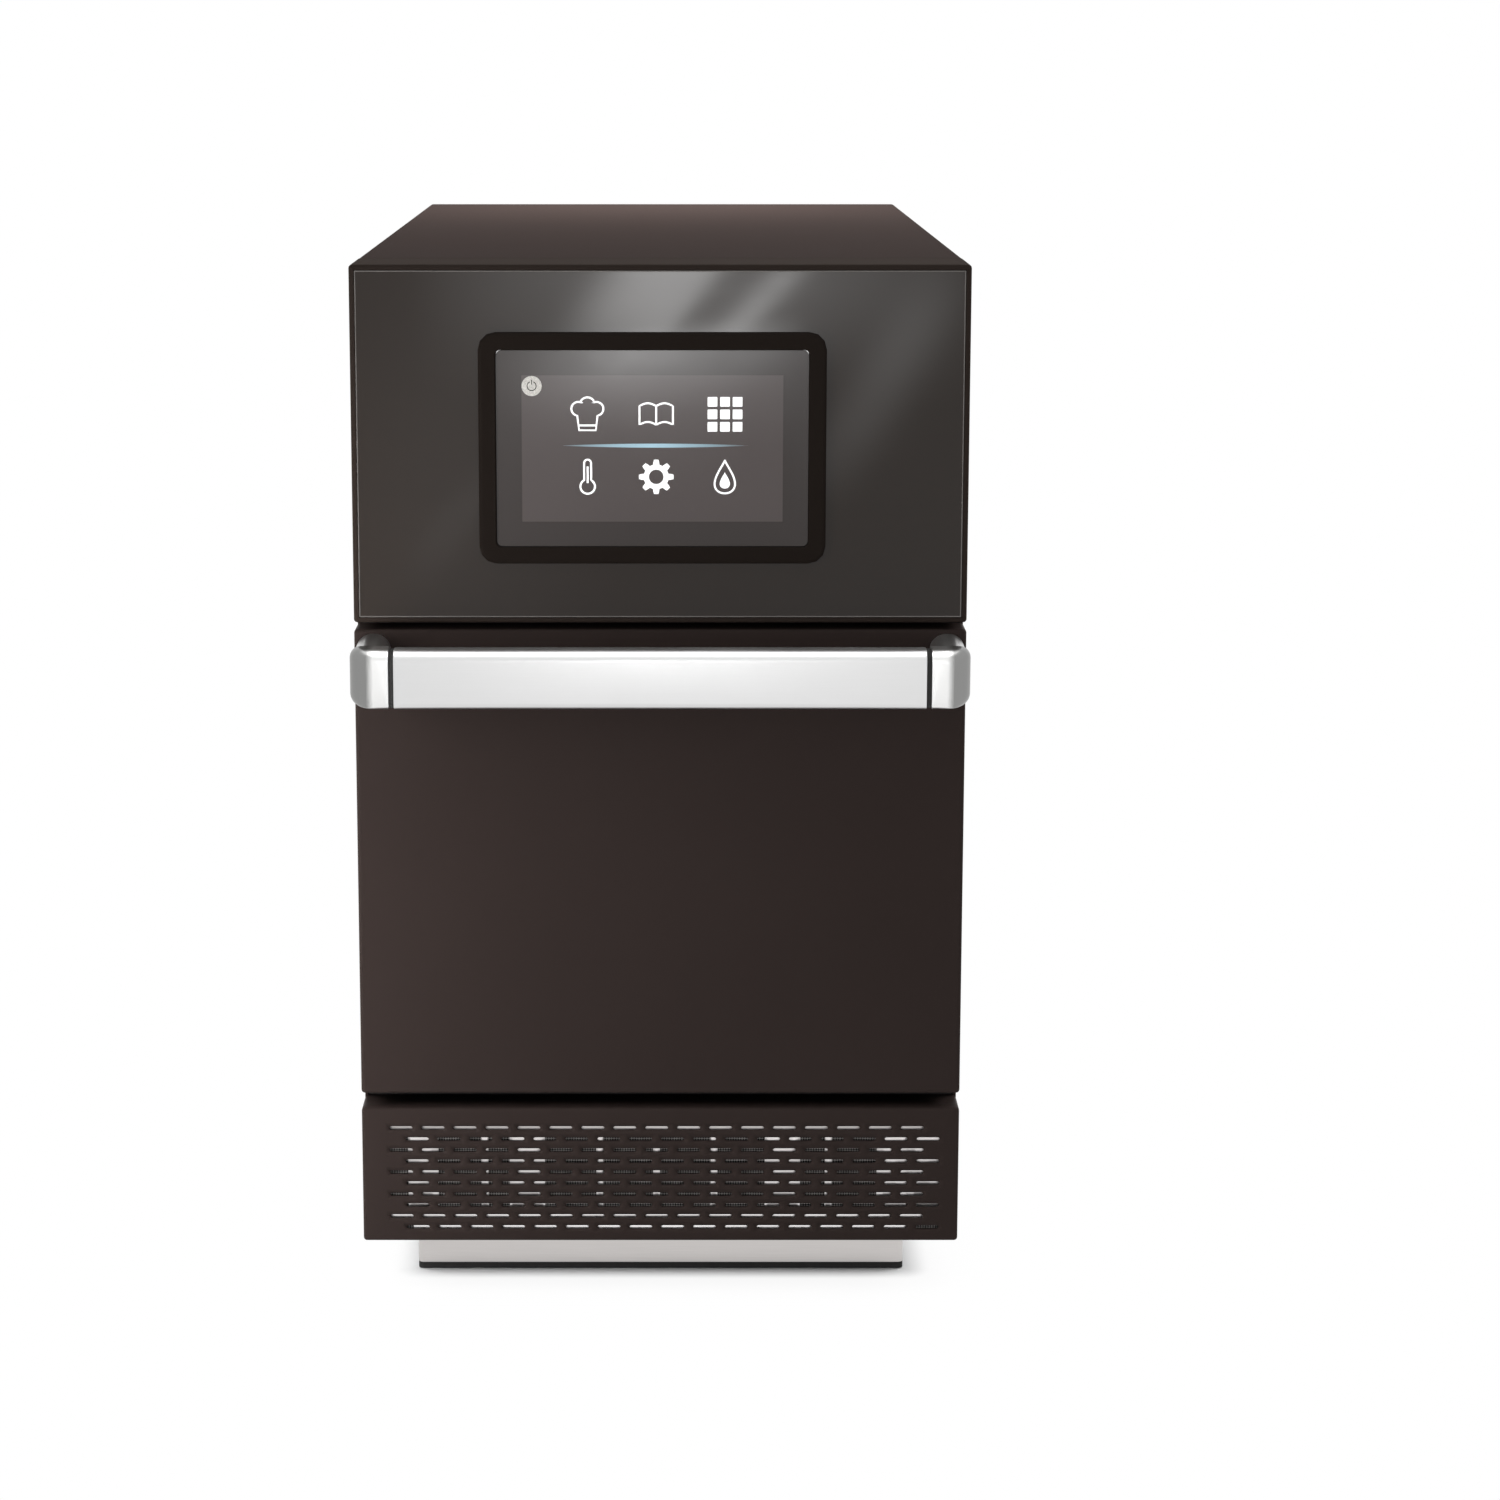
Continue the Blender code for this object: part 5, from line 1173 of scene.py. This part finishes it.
def draw_marks(layout, level):
    """Six plain pictograms in two rows of three."""
    low, high = corners("touch_screen")
    film, size = layout.film, layout.mark_size
    middle = ((low + high) / 2)[[0, 2]] + (layout.marks_right, layout.marks_up)
    columns = [step * layout.column_pitch for step in (-1, 0, 1)]
    upper, lower = ([middle + (column, rise) for column in columns]
                    for rise in (layout.row_pitch / 2, -layout.row_pitch / 2))
    marks = []
    for lines, place in ((cap_mark(), upper[0]), (book_mark(), upper[1]), (thermometer_mark(), lower[0]),
                         ([(drop_outline(), True)], lower[2])):
        marks += drawn(lines, place, size, layout.stroke, level, film)
    marks += [plate(tile * size + upper[2], level, film) for tile in tile_outlines()]
    marks.append(disc(*[outline * size + lower[1] for outline in gear_outlines()], level, film))
    marks.append(plate((drop_outline() * 0.5 + (0, -0.10)) * size + lower[2], level, film))
    piece("screen_pictograms", marks, "screen_marks", "casing")
    return middle


def draw_line(layout, level, middle):
    """The line between the rows, whose height falls from its middle with the square of the distance."""
    film = layout.film
    share = np.linspace(-1, 1, 41)
    swell = (1 - share ** 2) * layout.line_height / 2 + film
    along = share * layout.line_length / 2
    top, bottom = (middle + np.stack([along, side * swell], axis=1) for side in (1, -1))
    grid = stacked([top, bottom, bottom, top], [level - film, level - film, level, level], "Y")
    piece("screen_line", [patch(capped(np.swapaxes(grid, 0, 1)))], "screen_line", "casing")


def draw_power(layout, level):
    """The round mark in the screen's upper left corner: a pale disc with a ring and a bar on it."""
    low, high = corners("touch_screen")
    film, radius = layout.film, layout.power_radius
    spot = np.array([low[0] + layout.power_inset, high[2] - layout.power_inset])
    ground = plate(circle(spot, radius, 40), level, film)
    piece("power_disc", [ground], "power_mark", "casing")
    lines = [(arc((0, 0), 0.45, 0.62, 2.38, 20), False), ([(0, 0.15), (0, 0.62)], False)]
    thin = layout.stroke * 0.45
    symbol = drawn(lines, spot, radius, thin, level - film, film)
    piece("power_symbol", symbol, "matt_bezel", "casing")


def dress_screen(layout):
    """The pictograms, the fading line between them and the round mark, each a film on the glass."""
    level = corners("touch_screen")[0][1]
    middle = draw_marks(layout, level)
    draw_line(layout, level, middle)
    draw_power(layout, level)


def swept(low, high, radius, profile, steps):
    """A profile of (growth, level) pairs carried round a rectangle with round corners, one loop for each."""
    smallest = 1e-5
    outlines = [rounded(low[[0, 2]] - growth, high[[0, 2]] + growth, max(radius + growth, smallest), steps)
                for growth, _ in profile]
    return patch(stacked(outlines, [level for _, level in profile], "Y"), loop=True)


def crown(width, spread, level, rise, steps):
    """Half an ellipse along the middle of a rim of that width, as (growth, level) pairs."""
    angle = np.linspace(0, math.pi, steps + 1)
    return np.stack([-width / 2 - np.cos(angle) * spread, level + np.sin(angle) * rise], axis=1).tolist()


def dress_seal(shape):
    """The door's seal: a flat foot and a round bulb that meets the chamber's flange."""
    low, high = corners("door_seal")
    width = shape.width
    depth = high[1] - low[1]
    foot_top, bulb_start, bulb_rise = low[1] + depth * 0.3, low[1] + depth * 0.35, depth * 0.62
    bulb_spread = width * 0.36
    bulb = crown(width, bulb_spread, bulb_start, bulb_rise, 12)
    profile = [(-width, low[1]), (-width, foot_top), *bulb, (0, foot_top), (0, low[1])]
    ring = swept(low, high, shape.corner, profile, ARC_STEPS)
    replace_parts(piece("door_seal_bulb", [ring], "black_rubber", "door"), "door_seal")


def dress_trim(shape):
    """The fine pale edge of the fascia glass: a narrow rounded bead along its rim, whose grey is partly a
    painted highlight.
    """
    low, high = corners("fascia_glass")
    width = shape.bead_width
    back = low[1] + shape.bead_depth
    profile = [(-width, back), *crown(width, width / 2, low[1], -shape.bead_height, 6), (0, back)]
    piece("glass_edge_bead", [swept(low, high, shape.bead_corner, profile, 3)], "glass_edge", "casing")


def even(angle):
    """A true circle."""
    return np.ones_like(angle)


def hexagon(angle):
    """A hexagon with blunt corners: the flats' share over the cosine of the angle from a flat's middle."""
    flats, blunt = 0.87, 0.985
    from_flat = (angle + math.pi / 6) % (math.pi / 3) - math.pi / 6
    return np.minimum(flats / np.cos(from_flat), blunt)


def fluted(angle, flutes=18, depth=0.02):
    """Shallow grip flutes: a cosine of the angle."""
    return 1 + depth * np.cos(angle * flutes)


def turned(profile, middle, bend, steps):
    """A profile of (radius, level) pairs turned about an axis along Y. A bend scales a ring by its angle."""
    angle = round_angles(steps)
    outlines = [polar(middle, radius * bend(angle), angle) for radius, _ in profile]
    return patch(stacked(outlines, [level for _, level in profile], "Y"), loop=True)


# The gland's bore and thread, and its cap's foot and side: radii as shares of the nut's half width.
BORE, THREAD, CAP_FOOT, CAP_SIDE = 1 / 3, 0.66, 0.80, 0.83
# The cap towards its tip: radius as such a share, and depth under the tip.
CAP_CURVE = ((CAP_SIDE, 0.0055), (0.76, 0.003), (0.60, 0.0004), (0.56, 0.0))


def dress_gland(shape):
    """The cable gland: a hexagon nut, a fluted cap that narrows to the cord's bore, and its inner thread."""
    low, high = corners("cable_gland")
    middle = ((low + high) / 2)[[0, 2]]
    wall = corners("rear_panel")[1][1] + shape.nut_gap
    nut, tip = wall + shape.nut_height, high[1]
    outer = (high[0] - low[0]) / 2
    bore, thread = outer * BORE, outer * THREAD
    soft = shape.soft_edge
    nut_profile = [(bore, wall), (outer - soft, wall), (outer, wall + soft), (outer, nut - soft),
                   (outer - soft, nut), (bore, nut)]
    cap_profile = [(bore, nut), (outer * CAP_FOOT, nut), (outer * CAP_SIDE, nut + soft),
                   *[(outer * share, tip - depth) for share, depth in CAP_CURVE],
                   (bore + soft, tip), (bore, tip - soft)]
    thread_profile = [(bore, low[1]), (thread, low[1]), (thread, wall), (bore, wall)]
    patches = [turned(nut_profile, middle, hexagon, 96), turned(cap_profile, middle, fluted, 108),
               turned(thread_profile, middle, even, 48)]
    made = piece("cable_gland_moulded", patches, "black_plastic", "casing")
    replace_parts(made, "cable_gland")


def screw_head(radius, height):
    """A pan head as rings round an axis along Y: a dome, and a six-sided socket sunk in its middle.

    A ring's level is a share of the head's height, and the last ring lies just inside the panel.
    """
    angle = round_angles(36)
    socket = radius * 0.46
    sunk = 0.15
    sides = [(0.0, sunk), (socket * 0.85, sunk), (socket, sunk), (socket * 1.02, 0.98)]
    dome = [(radius * 0.75, 0.86), (radius * 0.93, 0.55), (radius, 0.2), (radius, -0.05)]
    outlines = [polar((0, 0), ring * hexagon(angle), angle) for ring, _ in sides]
    outlines += [polar((0, 0), ring, angle) for ring, _ in dome]
    return patch(capped(stacked(outlines, [height * level for _, level in sides + dome], "Y")))


def dress_screws(shape):
    """The casing's screws, along the rear panel's four edges."""
    low, high = corners("rear_panel")
    inset = shape.screw_inset
    across = np.linspace(low[0] + inset, high[0] - inset, 4)
    upright = np.linspace(low[2] + shape.side_inset, high[2] - shape.side_inset, 5)[1:-1]
    places = [(x, high[1], z) for x in across for z in (low[2] + inset, high[2] - inset)]
    places += [(x, high[1], z) for x in across[[0, -1]] for z in upright]
    heads = repeated(screw_head(shape.head_radius, shape.head_height), places)
    piece("rear_screws", [heads], "plated_steel", "casing")


def seen(graph):
    """1 for rays of the camera, and for those that a mirroring or a clear surface sends on."""
    rays = graph.node("ShaderNodeLightPath").outputs
    camera, glossy, clear = (Field(graph, rays[f"Is {kind} Ray"])
                             for kind in ("Camera", "Glossy", "Transmission"))
    return graph.clamp(camera + glossy + clear)


def floor_finish(setup):
    """White floor: it takes the shadow round the oven's foot and fades to plain white a little further out.

    The distance is that to the foot's own rectangle, and the fade is a near and a far smooth step of it.
    """
    low, high = corners("foot_trim")
    middle, half = (low + high) / 2, (high - low) / 2
    made = Finish("studio_floor", specular=0.0)
    x, y, _ = made.axes()
    beside = made.maths("MAXIMUM", abs(x - middle[0]) - half[0], 0.0)
    before = made.maths("MAXIMUM", abs(y - middle[1]) - half[1], 0.0)
    away = (beside * beside + before * before) ** 0.5
    close = smooth(made.clamp(away / setup.contact_reach))
    far = smooth(made.clamp(away / setup.shadow_reach))
    white_share = close * (1 - setup.shadow_share) + far * setup.shadow_share
    made.set("Base Color", grey(0.75))
    made.set("Roughness", 0.9)
    white = made.node("ShaderNodeEmission", {}, {"Color": grey(1.0), "Strength": 1.0})
    shaders = {0: white_share * seen(made), 1: made.shader.outputs[0], 2: white.outputs[0]}
    blend = made.node("ShaderNodeMixShader", {}, shaders)
    made.feed(made.tree.nodes["Material Output"].inputs["Surface"], blend.outputs[0])
    return made.material


def lay_floor(setup):
    """A round floor: rings whose radius grows with the square of their number, from its middle outwards."""
    rings, points, first = 24, 96, 0.05
    radii = np.linspace(first, 1, rings) ** 2 * setup.floor_radius
    outlines = np.array([0, *radii])[:, None, None] * circle((0, 0), 1, points)
    grid = stacked(outlines, np.full(len(outlines), -setup.floor_gap), "Z")
    joined("studio_floor", [patch(grid[::-1])], floor_finish(setup))


def light_world(setup):
    """White to the camera, in mirroring surfaces and through clear ones, and a plain even light elsewhere."""
    world = bpy.data.worlds.new("studio_world")
    world.use_nodes = True
    graph = Graph(world.node_tree)
    plain = graph.tree.nodes["Background"]
    graph.feed(plain.inputs["Color"], grey(1.0))
    graph.feed(plain.inputs["Strength"], setup.sky)
    white = graph.node("ShaderNodeBackground", {}, {"Color": grey(1.0), "Strength": 1.0})
    blend = graph.node("ShaderNodeMixShader", {}, {0: seen(graph), 1: plain.outputs[0], 2: white.outputs[0]})
    graph.feed(graph.tree.nodes["World Output"].inputs["Surface"], blend.outputs[0])
    bpy.context.scene.world = world


def area_lamp(name, place, aim, size, power, roll=0.0, mirrored=True):
    """A soft lamp of a width and height that the camera doesn't see, and that gloss may or may not mirror."""
    light = bpy.data.lights.new(name, "AREA")
    light.shape = "RECTANGLE"
    light.size, light.size_y = size
    light.energy = power
    lamp = bpy.data.objects.new(name, light)
    x, y, z = np.subtract(aim, place)
    tilt = math.atan2(z, math.hypot(x, y))
    lamp.rotation_euler = (math.pi / 2 + tilt, -roll, math.atan2(-x, y))
    lamp.location = place
    lamp.visible_camera = False
    lamp.visible_glossy = mirrored
    bpy.context.scene.collection.objects.link(lamp)
    return lamp


class Streak(NamedTuple):
    """A streak in the glass, as the photograph's camera sees it."""

    across: float  # its middle to the right of the oven's middle
    drop: float  # its middle below the glass's top edge
    long: float
    wide: float
    lean: float  # in degrees
    lower: float  # the share of its width over which the light climbs at its lower edge
    upper: float  # the share over which it falls at its upper edge
    level: float  # its light next to white


STREAKS = (
    Streak(-0.001, -0.004, 0.150, 0.066, 52, 0.10, 0.45, 8.8),
    Streak(0.058, 0.016, 0.100, 0.022, 45, 0.40, 0.50, 8.2),
    Streak(0.022, 0.000, 0.330, 0.160, 0, 0.50, 0.50, 3.0),
    Streak(-0.004, 0.050, 0.180, 0.036, 8, 0.50, 0.50, 14.0),
    Streak(0.130, 0.060, 0.170, 0.055, 58, 0.50, 0.50, 1.6),
    Streak(-0.109, 0.135, 0.130, 0.020, 57, 0.40, 0.50, 0.5),
    Streak(-0.130, 0.150, 0.070, 0.012, 57, 0.40, 0.50, 0.5),
    Streak(-0.110, 0.090, 0.320, 0.220, 75, 0.50, 0.50, 0.4),
)


def streak_lamp(name, setup, front, glass_top, distance, streak):
    """A lamp that the camera sees in the glass as a streak.

    It stands on the camera's ray as the glass mirrors it, so its offset from the spot grows with its
    distance. Its light fades along it as a sine. Across it, a smooth step climbs at the lower edge, and
    another one falls at the upper edge.
    """
    x, z = streak.across, glass_top - streak.drop
    share = distance / setup.distance
    place = (x + (x - setup.side) * share, front - distance, z + (z - setup.height) * share)
    size = (streak.long * (1 + share), streak.wide * (1 + share))
    power = streak.level * math.pi * size[0] * size[1]
    lamp = area_lamp(name, place, (place[0], front, place[2]), size, power, math.radians(streak.lean))
    lamp.data.use_nodes = True
    graph = Graph(lamp.data.node_tree)
    along, across, _ = graph.split(graph.node("ShaderNodeNewGeometry").outputs["Parametric"])
    profile = smooth(graph.clamp(across / streak.lower)) * smooth(graph.clamp((1 - across) / streak.upper))
    strength = graph.maths("SINE", along * math.pi) * profile
    graph.feed(graph.tree.nodes["Emission"].inputs["Strength"], strength)


def hang_lamps(setup, front):
    """Soft lamps round the oven, a strip over its top's rear edge, and the streaks that its glass mirrors."""
    top = cad_box[1][2]
    rear = corners("top_cover")[1][1]
    area_lamp("top_lamp", (0.0, -0.5, 2.6), (0.0, 0.0, 0.0), (2.2, 2.2), 28)
    # Name, place, aim, width and height, and watts of the lamps that gloss doesn't mirror.
    soft_lamps = (
        ("left_lamp", (-1.9, -1.7, 1.3), (0.0, front, 0.3), (1.1, 1.6), 2),
        ("right_lamp", (2.0, -1.6, 1.2), (0.0, front, 0.3), (0.9, 1.4), 9),
        ("near_lamp", (-0.36, front - 0.185, 0.27), (-0.10, front, 0.27), (0.10, 0.50), 2.3),
        ("right_side_lamp", (1.25, 0.45, 1.05), (0.2, 0.2, 0.45), (0.8, 0.5), 22),
        ("left_side_lamp", (-1.25, 0.45, 1.05), (-0.2, 0.2, 0.45), (0.8, 0.5), 20),
        ("rear_lamp", (0.4, 1.5, 1.05), (0.0, 0.36, 0.45), (0.8, 0.5), 12),
        ("top_strip", (0.0, rear, top + 0.27), (0.0, rear - 0.05, top), (0.30, 0.05), 3.6),
    )
    for row in soft_lamps:
        area_lamp(*row, mirrored=False)
    glass_top = corners("fascia_glass")[1][2]
    for index, streak in enumerate(STREAKS):
        distance = setup.lamp_distance + index * setup.lamp_step
        streak_lamp(f"streak_{index + 1}", setup, front, glass_top, distance, streak)


def set_camera(setup, front):
    """The camera at the photograph's viewing angle."""
    data = bpy.data.cameras.new("photo_camera")
    data.lens = setup.lens
    data.sensor_width = 36
    data.shift_x = setup.shift_x
    data.shift_y = setup.shift_y
    camera = bpy.data.objects.new("photo_camera", data)
    camera.location = (setup.side, front - setup.distance, setup.height)
    camera.rotation_euler = (math.pi / 2 - setup.pitch, 0, 0)
    bpy.context.scene.collection.objects.link(camera)
    bpy.context.scene.camera = camera


class OVEN_OT_finishes(bpy.types.Operator):
    """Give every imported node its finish"""

    bl_idname = "oven.finishes"
    bl_label = "Finish the sheet metal and fittings"

    def execute(self, context):
        paint_nodes()
        return {"FINISHED"}


class OVEN_OT_handle(bpy.types.Operator):
    """Make the handle's satin bar and its cast ends"""

    bl_idname = "oven.handle"
    bl_label = "Make the handle"

    def execute(self, context):
        dress_handle(context.scene.oven_handle)
        return {"FINISHED"}


class OVEN_OT_cover(bpy.types.Operator):
    """Press the vent cover with its rows of slots"""

    bl_idname = "oven.cover"
    bl_label = "Make the vent cover"

    def execute(self, context):
        dress_cover(context.scene.oven_slots)
        return {"FINISHED"}


class OVEN_OT_filter(bpy.types.Operator):
    """Make the filter's bars and its woven mesh"""

    bl_idname = "oven.filter"
    bl_label = "Make the air filter"

    def execute(self, context):
        dress_filter(context.scene.oven_filter, context.scene.oven_slots)
        return {"FINISHED"}


class OVEN_OT_screen(bpy.types.Operator):
    """Draw the plain pictograms, the line and the round mark on the touch screen"""

    bl_idname = "oven.screen"
    bl_label = "Draw the screen"

    def execute(self, context):
        dress_screen(context.scene.oven_screen)
        return {"FINISHED"}


class OVEN_OT_seal(bpy.types.Operator):
    """Make the door's bulb seal and the bead round the fascia glass"""

    bl_idname = "oven.seal"
    bl_label = "Make the seal and the glass bead"

    def execute(self, context):
        dress_seal(context.scene.oven_seal)
        dress_trim(context.scene.oven_seal)
        return {"FINISHED"}


class OVEN_OT_fittings(bpy.types.Operator):
    """Make the cable gland and the casing screws"""

    bl_idname = "oven.fittings"
    bl_label = "Make the rear fittings"

    def execute(self, context):
        dress_gland(context.scene.oven_fittings)
        dress_screws(context.scene.oven_fittings)
        return {"FINISHED"}


class OVEN_OT_studio(bpy.types.Operator):
    """Lay the floor, light the studio and set the camera"""

    bl_idname = "oven.studio"
    bl_label = "Set up the studio"

    def execute(self, context):
        setup = context.scene.oven_studio
        front = corners("door_skin")[0][1]
        lay_floor(setup)
        light_world(setup)
        hang_lamps(setup, front)
        set_camera(setup, front)
        context.scene.view_settings.view_transform = "Standard"
        return {"FINISHED"}


GROUPS = {
    "oven_colours": OvenColours, "oven_grain": CoatingGrain, "oven_handle": HandleShape,
    "oven_slots": SlotPattern, "oven_filter": FilterShape, "oven_screen": ScreenLayout,
    "oven_seal": SealShape, "oven_fittings": FittingShape, "oven_studio": StudioSetup,
}
OPERATORS = (OVEN_OT_finishes, OVEN_OT_handle, OVEN_OT_cover, OVEN_OT_filter, OVEN_OT_screen, OVEN_OT_seal,
             OVEN_OT_fittings, OVEN_OT_studio)


class OVEN_PT_panel(bpy.types.Panel):
    """Every step of the oven's dressing, in order"""

    bl_idname = "OVEN_PT_panel"
    bl_label = "Speed oven"
    bl_space_type = "VIEW_3D"
    bl_region_type = "UI"
    bl_category = "Oven"

    def draw(self, context):
        for step in OPERATORS:
            self.layout.operator(step.bl_idname)


def register():
    """Registers the groups, the operators and the panel."""
    for name, group in GROUPS.items():
        bpy.utils.register_class(group)
        setattr(bpy.types.Scene, name, PointerProperty(type=group))
    for kind in (*OPERATORS, OVEN_PT_panel):
        bpy.utils.register_class(kind)


def unregister():
    """Takes them out again."""
    for kind in (OVEN_PT_panel, *reversed(OPERATORS)):
        bpy.utils.unregister_class(kind)
    for name, group in GROUPS.items():
        delattr(bpy.types.Scene, name)
        bpy.utils.unregister_class(group)


def main():
    """Dresses the oven in order."""
    register()
    bpy.ops.oven.finishes()
    bpy.ops.oven.handle()
    bpy.ops.oven.cover()
    bpy.ops.oven.filter()
    bpy.ops.oven.screen()
    bpy.ops.oven.seal()
    bpy.ops.oven.fittings()
    bpy.ops.oven.studio()
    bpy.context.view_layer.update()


if __name__ == "__main__":
    main()
